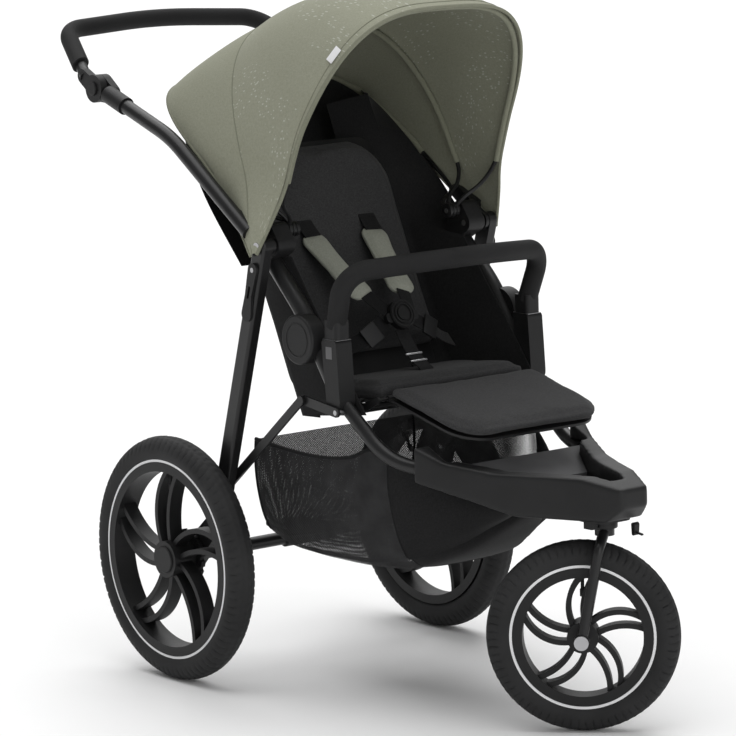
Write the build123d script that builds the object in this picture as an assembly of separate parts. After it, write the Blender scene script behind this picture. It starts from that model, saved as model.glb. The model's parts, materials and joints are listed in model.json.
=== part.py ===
from build123d import *
import os
from math import atan2, cos, degrees, radians, sin

# Three-wheel jogging stroller with a folding frame. Millimetres, +Z up, floor at z = 0.
# The stroller faces -Y. While modelling, the rear axle is at y = 0; the finished pieces are then moved
# along Y so that the origin is under the middle of the whole stroller.

# ---- wheels ----
REAR_WHEEL_RADIUS = 200.0
REAR_TRACK = 545.0  # between the middles of the two rear tyres
REAR_TYRE_WIDTH = 48.0
REAR_TYRE_HEIGHT = 46.0
FRONT_WHEEL_RADIUS = 148.0
FRONT_TYRE_WIDTH = 44.0
FRONT_TYRE_HEIGHT = 46.0
RIM_DEPTH = 15.0
RIM_LIP = 5.0  # how far the rim reaches up the tyre's side
SPOKE_COUNT = 5
SPOKE_RIB = 8.0
SPOKE_SWIRL = 24.0  # degrees that a spoke turns between hub and rim
SPOKE_PAIR = 26.0  # degrees at the hub from a spoke's middle to each of its ribs
REAR_HUB_RADIUS = 30.0
FRONT_HUB_RADIUS = 24.0
HUB_LENGTH = 42.0
REAR_AXLE_RADIUS = 8.0
FRONT_AXLE_RADIUS = 6.0
HUB_CAP_RADIUS = 22.0
HUB_CAP_HEIGHT = 3.0
RING_WIDTH = 4.0
RING_GAP = 0.5
RING_THICKNESS = 1.6
BRAKE_GEAR_RADIUS = 44.0
BRAKE_GEAR_THICKNESS = 8.0
BRAKE_GEAR_TEETH = 16

# ---- caster ----
SWIVEL_Y = -739.0
CASTER_TRAIL = 35.0
CASTER_TURN = 45.0  # degrees that the front wheel is turned at rest
FORK_TUBE_RADIUS = 8.0
FORK_SPREAD = 46.0  # from the wheel's middle to each fork tube
FORK_STEM_RADIUS = 12.0
SWIVEL_BASE_Z = 326.0
SWIVEL_HOUSING_RADIUS = 30.0
SWIVEL_HOUSING_HEIGHT = 30.0
SWIVEL_PLATE = 4.0

# ---- clearances ----
RUNNING = 0.05  # radial clearance of a shaft in its bore
SLIP = 0.4  # between sliding or soft pieces
LAYER_GAP = 1.0  # between links that pass each other

# ---- side layers, from the wheels inwards ----
LEG_TYRE_GAP = 7.5
LEG_DEPTH = 18.0
LEG_WIDTH = 30.0
PUSH_TUBE_RADIUS = 12.0
STRUT_DEPTH = 4.5
LINK_DEPTH = 4.0
BRACKET_SKIN = 2.5
SIDE_TUBE_RADIUS = 14.0
FRONT_TUBE_RADIUS = 11.0
TUBE_WALL = 1.6
LEG_OUTER_X = REAR_TRACK / 2 - REAR_TYRE_WIDTH / 2 - LEG_TYRE_GAP
LEG_INNER_X = LEG_OUTER_X - LEG_DEPTH
STRUT_OUTER_X = LEG_INNER_X - 1.5 * LAYER_GAP
LINK_OUTER_X = STRUT_OUTER_X - STRUT_DEPTH - LAYER_GAP
BRACKET_OUTER_X = LINK_OUTER_X - LINK_DEPTH - LAYER_GAP / 2
SIDE_TUBE_X = BRACKET_OUTER_X - BRACKET_SKIN - SIDE_TUBE_RADIUS
PUSH_TUBE_X = LEG_INNER_X + PUSH_TUBE_RADIUS

# ---- frame points, as (y, z) ----
FOLD_PIVOT = (-210.0, 721.0)
TUBE_TOP = (-176.0, 704.0)
TUBE_BEND = (-262.0, 620.0)
TUBE_JOINT = (-352.0, 490.0)
SEAT_PIVOT = (-363.0, 473.0)
ARM_BEND = (-440.0, 402.0)
ARM_END = (-530.0, 390.0)
ARM_X = 143.0
LEG_FOOT = (-68.0, 262.0)
STRUT_FOOT = (-90.0, 330.0)
KNEE = (-281.0, 484.0)
COVER_CENTRE = (-276.0, 579.0)
COVER_RADIUS = 39.5
CANOPY_PIVOT = (-196.0, 742.0)
PIVOT_PIN_RADIUS = 5.0
LINK_PIN_RADIUS = 4.0
LINK_WIDTH = 15.0
STRUT_WIDTH = 14.0
AXLE_TUBE_RADIUS = 11.0

# ---- push bar and handle ----
PUSH_BEND = (22.0, 880.0)
ADJUSTER_CENTRE = (221.0, 951.0)
ADJUSTER_RADIUS = 23.0
ADJUSTER_LAYER = 13.0
HANDLE_TILT = 31.0
HANDLE_REACH = 186.0
HANDLE_BOW = 14.0
HANDLE_LEAN = 42.0  # how far each handle leg leans inwards at its corner
HANDLE_FOOT = 34.0  # from the joint's axis to where the tube begins
GRIP_START = 70.0  # from the joint's axis to where the foam begins
HANDLE_TUBE_RADIUS = 10.0
HANDLE_CORNER = 50.0
GRIP_RADIUS = 15.0
BUTTON_RADIUS = 11.0
BUTTON_HEIGHT = 8.0
BUTTON_TRAVEL = 4.0

# ---- canopy ----
CANOPY_RADIUS = 401.0
CANOPY_SKIN = 4.0
CANOPY_ANGLES = (32.0, 60.0, 120.0)  # rear, middle and front bow, from +Y towards +Z
# A bow's top above the canopy pivot, the rise of its crown, and its corner and crown radii.
REAR_ARCH = (385.0, 68.0, 135.0, 320.0)
MIDDLE_ARCH = (366.0, 66.0, 120.0, 280.0)
FRONT_ARCH = (CANOPY_RADIUS, 68.0, 135.0, 320.0)
CANOPY_LOWER_EDGE = 52.0
BOW_RADIUS = 3.0
BOW_EYE_RADIUS = 12.0
BOW_EYE_DEPTH = 4.5
BOW_SIDE_GAP = 4.0  # between the fold bracket and the outermost bow
PANEL_GAP = 0.3  # degrees between the two canopy panels

# ---- seat ----
SEAT_HALF_WIDTH = 158.0
SEAT_HINGE = (-185.0, 452.0)
SEAT_FRONT = (-395.0, 486.0)
SEAT_FRAME_RADIUS = 7.0
SEAT_PAD = 26.0
BACK_ANGLE = 66.0
BACK_LENGTH = 440.0
BACK_PAD = 24.0
BACK_BOARD = 5.0
LEG_REST_LENGTH = 202.0
LEG_REST_SLOPE = 14.0
LEG_REST_HALF_WIDTH = 150.0
LEG_REST_PAD = 20.0
LEG_REST_BARREL = 5.0
LEG_REST_PIN = 2.5
LEG_REST_EAR = (159.5, 164.0)  # the ear's two faces across X
SHOULDER_TOP = (64.0, -111.0, 721.0)
SHOULDER_END = (40.0, -228.0, 624.0)
SIDE_PANEL_X = 166.0
SIDE_PANEL = 2.5

# ---- bumper bar ----
BUMPER_SEAM = (-345.0, 584.0)
BUMPER_CORNER = (203.0, -375.0, 690.0)
BUMPER_MIDDLE = (0.0, -440.0, 704.0)
BUMPER_BENDS = [45, 340, 45]
BUMPER_GRIP_RADIUS = 16.0
TONGUE = (14.0, 22.0, 44.0)
BRACKET_DEPTH = 31.0
BRACKET_TOP_WIDTH = 36.0

# ---- nose shell and basket ----
SHELL_REAR_Y = -500.0
SHELL_REAR_HALF = 176.0
SHELL_NOSE_Y = -808.0
SHELL_WAIST = (152.0, -552.0)
SHELL_CHEEK = (84.0, -684.0)
SHELL_TIP_HALF = 27.0
SWIVEL_FOOT = (70.0, 60.0, 18.0)  # the housing's plate: across, along and corner radius
SHELL_WALL = 6.0
SHELL_ARM = 34.0
SHELL_BASE_Z = 331.0
FOOT_PANEL = 4.0
BASKET_HALF_WIDTH = 170.0
BASKET_SKIN = 3.0

SIDES = {"right": -1, "left": 1}


def yz(x):
    """The plane across X at x, with its own axes along Y and Z."""
    return Plane.YZ.offset(x)


def at_side(shape, side):
    """A piece drawn on the +X side, or its mirror image for side -1."""
    return shape if side > 0 else mirror(shape, about=Plane.YZ)


def both(shape):
    """A piece and its mirror image, as separate solids of one node."""
    return Compound(list(shape.solids()) + list(mirror(shape, about=Plane.YZ).solids()))


def mirrored(point):
    """The (x, y, z) point on the other side."""
    return (-point[0], point[1], point[2])


def cylinder_x(centre, radius, low, high):
    """A round bar along X between x = low and x = high, at centre (y, z)."""
    return extrude(yz(low) * (Pos(*centre) * Circle(radius)), amount=high - low)


def hull_plate(discs, low, high):
    """A plate between x = low and x = high, the outline round discs of ((y, z), radius)."""
    edges = [edge for centre, radius in discs for edge in (Pos(*centre) * Circle(radius)).edges()]
    return extrude(yz(low) * make_hull(edges), amount=high - low, dir=(1, 0, 0))


def polygon_plate(points, low, high):
    """A flat plate between x = low and x = high with corners at (y, z) points."""
    return extrude(yz(low) * Polygon(*points, align=None), amount=high - low, dir=(1, 0, 0))


def bent_bar(points, bends, section):
    """A section swept along points, with one bend radius for each inner point."""
    path = FilletPolyline(*points, radius=bends) if bends else Polyline(*points)
    return sweep(Plane(origin=path @ 0, z_dir=path % 0) * section, path=path)


def tube_section(radius, wall=TUBE_WALL):
    """The ring of a tube."""
    return Circle(radius) - Circle(radius - wall)


def turned(point, centre, angle):
    """A (y, z) point turned about centre by angle in degrees, from +Y towards +Z."""
    dy, dz, c, s = point[0] - centre[0], point[1] - centre[1], cos(radians(angle)), sin(radians(angle))
    return (centre[0] + dy * c - dz * s, centre[1] + dy * s + dz * c)


def along(start, angle, distance):
    """The (y, z) point at a distance from start, in a direction from +Y towards +Z."""
    return (start[0] + distance * cos(radians(angle)), start[1] + distance * sin(radians(angle)))


# ---- wheels, drawn with the axle on X and the wheel's middle at the origin ----
def tyre(radius, width, height):
    """A round-shouldered tyre."""
    section = Plane.XY * Pos(0, radius - height / 2) * Ellipse(width / 2, height / 2)
    return revolve(section, axis=Axis.X)


def rim_face(radius, height):
    """The radius at which the rim's inside faces the hub."""
    return radius - height + RIM_LIP - RIM_DEPTH


def wheel_rim(radius, width, height, hub_radius, bore):
    """A moulded rim with paired curved spokes and its hub, in one piece."""
    inner = rim_face(radius, height)
    flange = width / 2 - 4
    band = revolve(Plane.XY * Pos(0, inner + RIM_DEPTH / 2) * Rectangle(2 * flange, RIM_DEPTH), axis=Axis.X)
    wheel = band + cylinder_x((0, 0), hub_radius, -HUB_LENGTH / 2, HUB_LENGTH / 2)
    wheel += spokes(inner + 2, hub_radius - 3, flange * 0.6)
    return wheel - tyre(radius, width, height) - cylinder_x((0, 0), bore, -width, width)


def spokes(outer, inner, half_depth):
    """Curved spokes, each two ribs that meet at the rim."""
    bars = Part()
    for step in range(SPOKE_COUNT):
        start = 360.0 / SPOKE_COUNT * step
        for offset in (-SPOKE_PAIR, SPOKE_PAIR):
            root = along((0, 0), start + offset, inner)
            middle = along((0, 0), start + SPOKE_SWIRL * 0.35 + offset * 0.45, (inner + outer) / 2)
            tip = along((0, 0), start + SPOKE_SWIRL + offset * 0.2, outer)
            rib = trace(ThreePointArc(root, middle, tip), line_width=SPOKE_RIB)
            bars += extrude(yz(-half_depth) * rib, amount=2 * half_depth)
    return bars


def sidewall_ring(radius, width, height, face):
    """The bright band on a tyre's sidewall, just outside the rim."""
    middle = radius - height + RIM_LIP + RING_GAP + RING_WIDTH / 2
    share = (middle - radius + height / 2) / (height / 2)
    reach = width / 2 * (1 - share ** 2) ** 0.5
    band = Plane.XY * Pos(face * reach, middle) * Rectangle(2 * RING_THICKNESS, RING_WIDTH)
    return revolve(band, axis=Axis.X) - tyre(radius, width, height)


def brake_gear():
    """A toothed ring on the hub's inner end that the brake locks."""
    low = -HUB_LENGTH / 2 - BRAKE_GEAR_THICKNESS
    gear = cylinder_x((0, 0), BRAKE_GEAR_RADIUS, low, low + BRAKE_GEAR_THICKNESS)
    notch_radius = 4.0
    for tooth in range(BRAKE_GEAR_TEETH):
        centre = along((0, 0), 360.0 / BRAKE_GEAR_TEETH * tooth, BRAKE_GEAR_RADIUS)
        gear -= cylinder_x(centre, notch_radius, low, low + BRAKE_GEAR_THICKNESS)
    return gear - cylinder_x((0, 0), REAR_AXLE_RADIUS + RUNNING, low, low + BRAKE_GEAR_THICKNESS)


def hub_cap():
    """The domed cap that closes a rear hub, cupped so that it clears the axle."""
    low, high = HUB_LENGTH / 2, HUB_LENGTH / 2 + HUB_CAP_HEIGHT
    cap = cylinder_x((0, 0), HUB_CAP_RADIUS, low, high)
    return chamfer(cap.edges().filter_by(GeomType.CIRCLE).sort_by(Axis.X)[-1], HUB_CAP_HEIGHT / 2)


def rear_wheels():
    """Both rear wheels' pieces, in place."""
    pieces = {}
    sizes = (REAR_WHEEL_RADIUS, REAR_TYRE_WIDTH, REAR_TYRE_HEIGHT)
    place = Pos(REAR_TRACK / 2, 0, REAR_WHEEL_RADIUS)
    drawn = {
        "rear_tyre": tyre(*sizes),
        "rear_rim": wheel_rim(*sizes, REAR_HUB_RADIUS, REAR_AXLE_RADIUS + RUNNING),
        "rear_ring": sidewall_ring(*sizes, 1),
        "brake_gear": brake_gear(),
        "hub_cap": hub_cap(),
    }
    for side, sign in SIDES.items():
        for name, shape in drawn.items():
            pieces[f"{name}_{side}"] = at_side(place * shape, sign)
    return pieces


def front_place():
    """Where the front wheel's own frame stands: on the swivel axis, turned as the caster is at rest."""
    return Pos(0, SWIVEL_Y, 0) * Rot(0, 0, CASTER_TURN)


def front_wheel():
    """The front wheel, its axle and the fork."""
    sizes = (FRONT_WHEEL_RADIUS, FRONT_TYRE_WIDTH, FRONT_TYRE_HEIGHT)
    axle = (CASTER_TRAIL, FRONT_WHEEL_RADIUS)
    end_x = FORK_SPREAD + FORK_TUBE_RADIUS
    place = Pos(0, *axle)
    bar = cylinder_x(axle, FRONT_AXLE_RADIUS, -end_x, end_x)
    nut = cylinder_x(axle, 2 * FRONT_AXLE_RADIUS - 1, end_x, end_x + 5)
    rings = sidewall_ring(*sizes, 1) + sidewall_ring(*sizes, -1)
    drawn = {
        "front_tyre": place * tyre(*sizes),
        "front_rim": place * wheel_rim(*sizes, FRONT_HUB_RADIUS, FRONT_AXLE_RADIUS + RUNNING),
        "front_rings": place * rings,
        "front_axle": bar + both(nut),
        "fork": fork(axle) - bar,
    }
    return {name: front_place() * shape for name, shape in drawn.items()}


def fork(axle):
    """Two curved tubes from the wheel's axle to a crown with the swivel stem on it."""
    crown_z = SWIVEL_BASE_Z - SWIVEL_PLATE - 13
    shape = Part()
    for sign in (-1, 1):
        route = [(sign * 8, 0, crown_z), (sign * (FORK_SPREAD - 7), 7, crown_z - 20),
                 (sign * FORK_SPREAD, axle[0], axle[1])]
        shape += bent_bar(route, [16], Circle(FORK_TUBE_RADIUS))
        low = sign * FORK_SPREAD - FORK_TUBE_RADIUS
        shape += cylinder_x(axle, 12, low, low + 2 * FORK_TUBE_RADIUS)
    stem_top = SWIVEL_BASE_Z + SWIVEL_HOUSING_HEIGHT - 3
    shape += Pos(0, 0, crown_z - 6) * extrude(Circle(15), amount=17)
    return shape + Pos(0, 0, crown_z) * extrude(Circle(FORK_STEM_RADIUS), amount=stem_top - crown_z)


def swivel_housing():
    """The bearing housing that holds the fork stem, with its plate under the nose."""
    plate = extrude(RectangleRounded(*SWIVEL_FOOT), amount=SWIVEL_PLATE)
    housing = extrude(Circle(SWIVEL_HOUSING_RADIUS), amount=SWIVEL_HOUSING_HEIGHT)
    bore = extrude(Circle(FORK_STEM_RADIUS + RUNNING), amount=SWIVEL_HOUSING_HEIGHT - 2)
    stops = Pos(-28, 0, -10) * extrude(RectangleRounded(14, 20, 3), amount=10)
    return Pos(0, SWIVEL_Y, SWIVEL_BASE_Z) * (plate + housing + stops - bore)


def swivel_lock():
    """The small lever in front of the stem that locks the caster straight."""
    hinge = lock_hinge()
    body = hull_plate([(hinge, 4), ((hinge[0], hinge[1] - 13), 3)], -5, 5)
    wire = hull_plate([((hinge[0], hinge[1] - 11), 1.5), ((hinge[0] - 15, hinge[1] - 13), 1.5)], -1.5, 1.5)
    return Pos(26, 0, 0) * (body + wire)


def lock_hinge():
    """The lock lever's pivot, as (y, z)."""
    return (SWIVEL_Y - 40, SWIVEL_BASE_Z - 6)


# ---- main frame ----
def side_tube():
    """The main side tube from the fold bracket down to the bumper bracket."""
    route = [(SIDE_TUBE_X, *TUBE_TOP), (SIDE_TUBE_X, *TUBE_BEND), (SIDE_TUBE_X, *TUBE_JOINT)]
    return bent_bar(route, [220], tube_section(SIDE_TUBE_RADIUS))


def front_tube_route():
    """The front tube's points, from the bumper bracket into the nose shell's arm."""
    return [(SIDE_TUBE_X, *TUBE_JOINT), ((2 * SIDE_TUBE_X + ARM_X) / 3, *ARM_BEND), (ARM_X, *ARM_END)]


def front_tube(section):
    """The lower tube that carries on from the side tube into the shell."""
    return bent_bar(front_tube_route(), [130], section)


def bracket_discs():
    """The outline discs of the fold bracket: pivot, canopy pivot and tube end."""
    return [(FOLD_PIVOT, 15), (CANOPY_PIVOT, 14), (TUBE_TOP, 16), (turned(TUBE_TOP, TUBE_BEND, -2), 15)]


def fold_bracket():
    """The bracket at the top of the side tube that carries the fold pin and the canopy."""
    low = SIDE_TUBE_X - SIDE_TUBE_RADIUS - BRACKET_SKIN
    plate = hull_plate(bracket_discs(), low, BRACKET_OUTER_X)
    collar = cylinder_x(FOLD_PIVOT, 10, BRACKET_OUTER_X, BRACKET_OUTER_X + 2)
    return plate + collar - side_tube_space() - cylinder_x(FOLD_PIVOT, PIVOT_PIN_RADIUS, low - 1, LEG_OUTER_X)


def side_tube_space():
    """The side tube's solid outline, to cut its seat in a bracket."""
    route = [(SIDE_TUBE_X, *TUBE_TOP), (SIDE_TUBE_X, *TUBE_BEND), (SIDE_TUBE_X, *TUBE_JOINT)]
    return bent_bar(route, [220], Circle(SIDE_TUBE_RADIUS))


def fold_pin():
    """The pin on which the push bar and the rear leg turn, with a head outside."""
    low = SIDE_TUBE_X - SIDE_TUBE_RADIUS - BRACKET_SKIN
    pin = cylinder_x(FOLD_PIVOT, PIVOT_PIN_RADIUS, low, LEG_OUTER_X + 1)
    return pin + cylinder_x(FOLD_PIVOT, 8, LEG_OUTER_X + 1, LEG_OUTER_X + 4)


def seat_pin():
    """The pin and cross tube on which the seat links turn."""
    return cylinder_x(SEAT_PIVOT, LINK_PIN_RADIUS, SIDE_TUBE_X, LINK_OUTER_X + 1)


def joint_cover():
    """The round cover over the joint in the side tube."""
    outer = LEG_INNER_X - 2
    cover = cylinder_x(COVER_CENTRE, COVER_RADIUS, SIDE_TUBE_X - 2, outer)
    cover = fillet(cover.edges().filter_by(GeomType.CIRCLE).sort_by(Axis.X)[-1], 4)
    return cover - side_tube_space()


def bumper_bracket():
    """The sleeve that joins the side tube to the front tube and holds the bumper bar's tongue."""
    top = BUMPER_SEAM[1]
    middle = (TUBE_JOINT[0] + 3, (TUBE_JOINT[1] + top) / 2)
    half = BRACKET_TOP_WIDTH / 2
    low, high = BRACKET_OUTER_X - BRACKET_DEPTH, BRACKET_OUTER_X
    sleeve = hull_plate([(TUBE_JOINT, 17), ((BUMPER_SEAM[0] - half + 6, top - 6), 6),
                         ((BUMPER_SEAM[0] + half - 6, top - 6), 6), (middle, 17)], low, high)
    sleeve -= side_tube_space() + front_tube(Circle(FRONT_TUBE_RADIUS)) + seat_pin()
    width, depth, height = (size + 2 * SLIP for size in TONGUE)
    pocket = Pos(SIDE_TUBE_X, BUMPER_SEAM[0], top - height / 2 + SLIP) * Box(width, depth, height)
    return sleeve - pocket


def tongue():
    """The bumper bar's tongue, inside the bracket's pocket."""
    width, depth, height = TONGUE
    return Pos(SIDE_TUBE_X, BUMPER_SEAM[0], BUMPER_SEAM[1] - height / 2 + 2) * Box(width, depth, height)


def bumper_end():
    """The moulded end of the bumper bar that stands on a bracket."""
    low = BUMPER_SEAM[1] + SLIP
    foot = Pos(SIDE_TUBE_X, BUMPER_SEAM[0], low) * extrude(RectangleRounded(28, BRACKET_TOP_WIDTH, 8), amount=30)
    return foot + tongue()


def bumper_route():
    """The bumper bar's line from one end, forward and across, to the other."""
    y, z = BUMPER_SEAM
    start = (SIDE_TUBE_X, y, z + 20)
    return [mirrored(start), mirrored(BUMPER_CORNER), BUMPER_MIDDLE, BUMPER_CORNER, start]


def bumper_grip():
    """The bumper bar's foam grip, as one bent bar."""
    return bent_bar(bumper_route(), BUMPER_BENDS, Circle(BUMPER_GRIP_RADIUS))


def seat_frame():
    """A cross tube between the front tubes and a U-shaped rail under the seat pad."""
    x, rear, drop = SEAT_HALF_WIDTH - 14, SEAT_HINGE, SEAT_PIVOT[1]
    reach = BRACKET_OUTER_X - BRACKET_DEPTH
    cross = cylinder_x(SEAT_PIVOT, SEAT_FRAME_RADIUS, -reach, reach)
    route = [(-x, SEAT_PIVOT[0], drop), (-x, *rear), (x, *rear), (x, SEAT_PIVOT[0], drop)]
    frame = cross + bent_bar(route, [30, 30], Circle(SEAT_FRAME_RADIUS)) + both(leg_rest_ear())
    return frame - both(front_tube(Circle(FRONT_TUBE_RADIUS))) - both(side_tube_space())


def leg_rest_ear():
    """The ear on the seat frame that carries the leg rest, with its pin."""
    ear = hull_plate([(SEAT_PIVOT, SEAT_FRAME_RADIUS), (leg_rest_hinge(), LEG_REST_BARREL)], *LEG_REST_EAR)
    return ear + cylinder_x(leg_rest_hinge(), LEG_REST_PIN, SEAT_HALF_WIDTH - 30, LEG_REST_EAR[1])


def leg_rest_board():
    """The leg rest's board, with the barrel that turns on the frame's pins."""
    half = LEG_REST_HALF_WIDTH - 8
    board = leg_rest_slab(-2, 2, 4, 8) + cylinder_x(leg_rest_hinge(), LEG_REST_BARREL, -half, half)
    return board - cylinder_x(leg_rest_hinge(), LEG_REST_PIN + RUNNING, -half - 1, half + 1)


# ---- nose ----
def shell_plan(inset):
    """The nose shell's outline from above, drawn inset by a distance."""
    nose = SHELL_NOSE_Y + inset
    side = [(SHELL_REAR_HALF - inset, SHELL_REAR_Y - inset), (SHELL_WAIST[0] - inset, SHELL_WAIST[1]),
            (SHELL_CHEEK[0] - inset, SHELL_CHEEK[1] + inset / 4), (SHELL_TIP_HALF - inset / 2, nose)]
    outline = Polygon(*[(-x, y) for x, y in side], *reversed(side), align=None)
    tip = outline.vertices().filter_by_position(Axis.Y, nose - 1, nose + 1)
    return fillet(tip, SHELL_TIP_HALF * 0.35)


def shell_profile():
    """The nose shell's outline from the side."""
    nose, rear, base = SHELL_NOSE_Y, SHELL_REAR_Y, SHELL_BASE_Z
    return polygon_plate([(rear + 2, base + 100), (rear - 45, base + 78), (rear - 120, base + 66),
                          (nose + 60, base + 66), (nose - 1, base + 52), (nose - 1, base + 24),
                          (nose + 28, base), (nose + 160, base), (rear - 70, base + 24),
                          (rear + 2, base + 44)], -SHELL_REAR_HALF - 1, SHELL_REAR_HALF + 1)


def nose_shell():
    """The moulded nose: a boat-shaped shell that is open above, with two arms behind."""
    shape = extrude(shell_plan(0), amount=SHELL_BASE_Z + 200) & shell_profile()
    floor = SHELL_BASE_Z + SHELL_WALL
    rear, nose = SHELL_REAR_Y, SHELL_NOSE_Y
    well = polygon_plate([(rear + 40, floor + 46), (rear - 70, floor + 24), (nose + 160, floor + 2),
                          (nose + 75, floor + 2), (nose + 40, floor + 40), (nose + 40, floor + 200),
                          (rear + 40, floor + 200)], -SHELL_REAR_HALF, SHELL_REAR_HALF)
    inner = shell_plan(SHELL_ARM)
    mouth = Pos(0, rear, 0) * Rectangle(2 * (SHELL_REAR_HALF - SHELL_ARM), 90)
    shape -= (extrude(inner, amount=floor + 300) + extrude(mouth, amount=floor + 300)) & well
    shape -= both(front_tube(Circle(FRONT_TUBE_RADIUS)))
    housing = SWIVEL_HOUSING_RADIUS, SWIVEL_HOUSING_HEIGHT
    shape -= Pos(0, SWIVEL_Y, SWIVEL_BASE_Z) * extrude(Circle(housing[0]), amount=housing[1])
    return shape - Pos(0, SWIVEL_Y, SWIVEL_BASE_Z) * extrude(RectangleRounded(*SWIVEL_FOOT), amount=SWIVEL_PLATE)


def foot_panel():
    """The lighter foot plate, sloping from the shell's rear edge down to its floor."""
    half, rear = SHELL_REAR_HALF - SHELL_ARM - SLIP, SHELL_REAR_Y
    top, low = SHELL_BASE_Z + 76, SHELL_BASE_Z + 38
    plate = polygon_plate([(rear - 12, top), (rear - 12, top - FOOT_PANEL), (rear - 100, low - FOOT_PANEL),
                           (rear - 100, low)], -half, half)
    return plate & extrude(shell_plan(SHELL_ARM + SLIP), amount=SHELL_BASE_Z + 200)


# ---- rear frame ----
def leg():
    """A rear leg, from the fold pin to the axle housing."""
    bar = hull_plate([(FOLD_PIVOT, LEG_WIDTH / 2), (LEG_FOOT, LEG_WIDTH / 2)], LEG_INNER_X, LEG_OUTER_X)
    bar = fillet(bar.edges().filter_by_position(Axis.X, LEG_OUTER_X - 0.1, LEG_OUTER_X + 0.1), 5)
    return bar - cylinder_x(FOLD_PIVOT, PIVOT_PIN_RADIUS + RUNNING, LEG_INNER_X - 1, LEG_OUTER_X + 1)


def axle_housing():
    """The moulded foot that joins a leg to the axle tube, with the strut's pin on it."""
    axle = (0, REAR_WHEEL_RADIUS)
    foot = hull_plate([(LEG_FOOT, LEG_WIDTH / 2 + 2), (axle, 22)],
                      LEG_INNER_X + 1, LEG_OUTER_X + 1.5)
    foot -= hull_plate([(FOLD_PIVOT, LEG_WIDTH / 2), (LEG_FOOT, LEG_WIDTH / 2)], LEG_INNER_X, LEG_OUTER_X)
    return foot - cylinder_x(axle, AXLE_TUBE_RADIUS, LEG_INNER_X, LEG_OUTER_X + 2)


def rear_axle():
    """The tube between the legs, with the two stub axles for the wheels."""
    axle = (0, REAR_WHEEL_RADIUS)
    stub = REAR_TRACK / 2 + HUB_LENGTH / 2 - 1
    gear_face = REAR_TRACK / 2 - HUB_LENGTH / 2 - BRAKE_GEAR_THICKNESS
    tube = cylinder_x(axle, AXLE_TUBE_RADIUS, 1 - gear_face, gear_face - 1)
    return tube + cylinder_x(axle, REAR_AXLE_RADIUS, -stub, stub)


def strut_pin():
    """The pin on the leg on which the diagonal strut turns."""
    return cylinder_x(STRUT_FOOT, LINK_PIN_RADIUS, STRUT_OUTER_X - STRUT_DEPTH - 0.5, LEG_INNER_X)


def strut():
    """The diagonal strut from the leg up to the knee."""
    low = STRUT_OUTER_X - STRUT_DEPTH
    bar = hull_plate([(STRUT_FOOT, STRUT_WIDTH / 2), (KNEE, STRUT_WIDTH / 2)], low, STRUT_OUTER_X)
    return bar - cylinder_x(STRUT_FOOT, LINK_PIN_RADIUS + RUNNING, low - 1, STRUT_OUTER_X + 1)


def seat_link():
    """The short link from the front tube back to the knee."""
    low = LINK_OUTER_X - LINK_DEPTH
    bar = hull_plate([(SEAT_PIVOT, LINK_WIDTH / 2), (KNEE, LINK_WIDTH / 2)], low, LINK_OUTER_X)
    return bar - cylinder_x(SEAT_PIVOT, LINK_PIN_RADIUS + RUNNING, low - 1, LINK_OUTER_X + 1)


def lever_hinge():
    """The fold catch's pivot on the leg, as (y, z)."""
    angle = degrees(atan2(LEG_FOOT[1] - FOLD_PIVOT[1], LEG_FOOT[0] - FOLD_PIVOT[0]))
    return along(FOLD_PIVOT, angle, 38)


def fold_catch():
    """The slotted catch lever on the outside of a leg."""
    hinge = lever_hinge()
    angle = degrees(atan2(LEG_FOOT[1] - FOLD_PIVOT[1], LEG_FOOT[0] - FOLD_PIVOT[0]))
    low, high = LEG_OUTER_X + SLIP, LEG_OUTER_X + 5
    tail = along(hinge, angle - 2, 74)
    lever = hull_plate([(hinge, 11), (along(hinge, angle, 44), 8)], low, high)
    lever += hull_plate([(along(hinge, angle, 44), 8), (tail, 12)], low, high)
    slot = [(along(hinge, angle, 30), 2.5), (along(hinge, angle, 46), 2.5)]
    lever -= hull_plate(slot, low - 1, high + 1)
    return lever - cylinder_x(hinge, LINK_PIN_RADIUS + RUNNING, low - 1, high + 1)


def catch_pin():
    """The pin of the fold catch, with its head."""
    return cylinder_x(lever_hinge(), LINK_PIN_RADIUS, LEG_OUTER_X, LEG_OUTER_X + 5.5)


def brake_pedal():
    """A foot pedal that turns on the axle tube."""
    axle = (0, REAR_WHEEL_RADIUS)
    sleeve = cylinder_x(axle, AXLE_TUBE_RADIUS + 4, -50, 50)
    plate = hull_plate([((AXLE_TUBE_RADIUS, REAR_WHEEL_RADIUS + 4), 4), ((62, REAR_WHEEL_RADIUS + 14), 4)], -38, 38)
    return sleeve + plate - cylinder_x(axle, AXLE_TUBE_RADIUS + RUNNING, -51, 51)


# ---- push bar ----
def push_start():
    """The lower end of the push tube, clear of the fold pivot."""
    angle = degrees(atan2(PUSH_BEND[1] - FOLD_PIVOT[1], PUSH_BEND[0] - FOLD_PIVOT[0]))
    return along(FOLD_PIVOT, angle, 36)


def push_end():
    """The upper end of the push tube, clear of the handle's disc."""
    dy, dz = PUSH_BEND[0] - ADJUSTER_CENTRE[0], PUSH_BEND[1] - ADJUSTER_CENTRE[1]
    return along(ADJUSTER_CENTRE, degrees(atan2(dz, dy)), ADJUSTER_RADIUS + 4)


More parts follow.
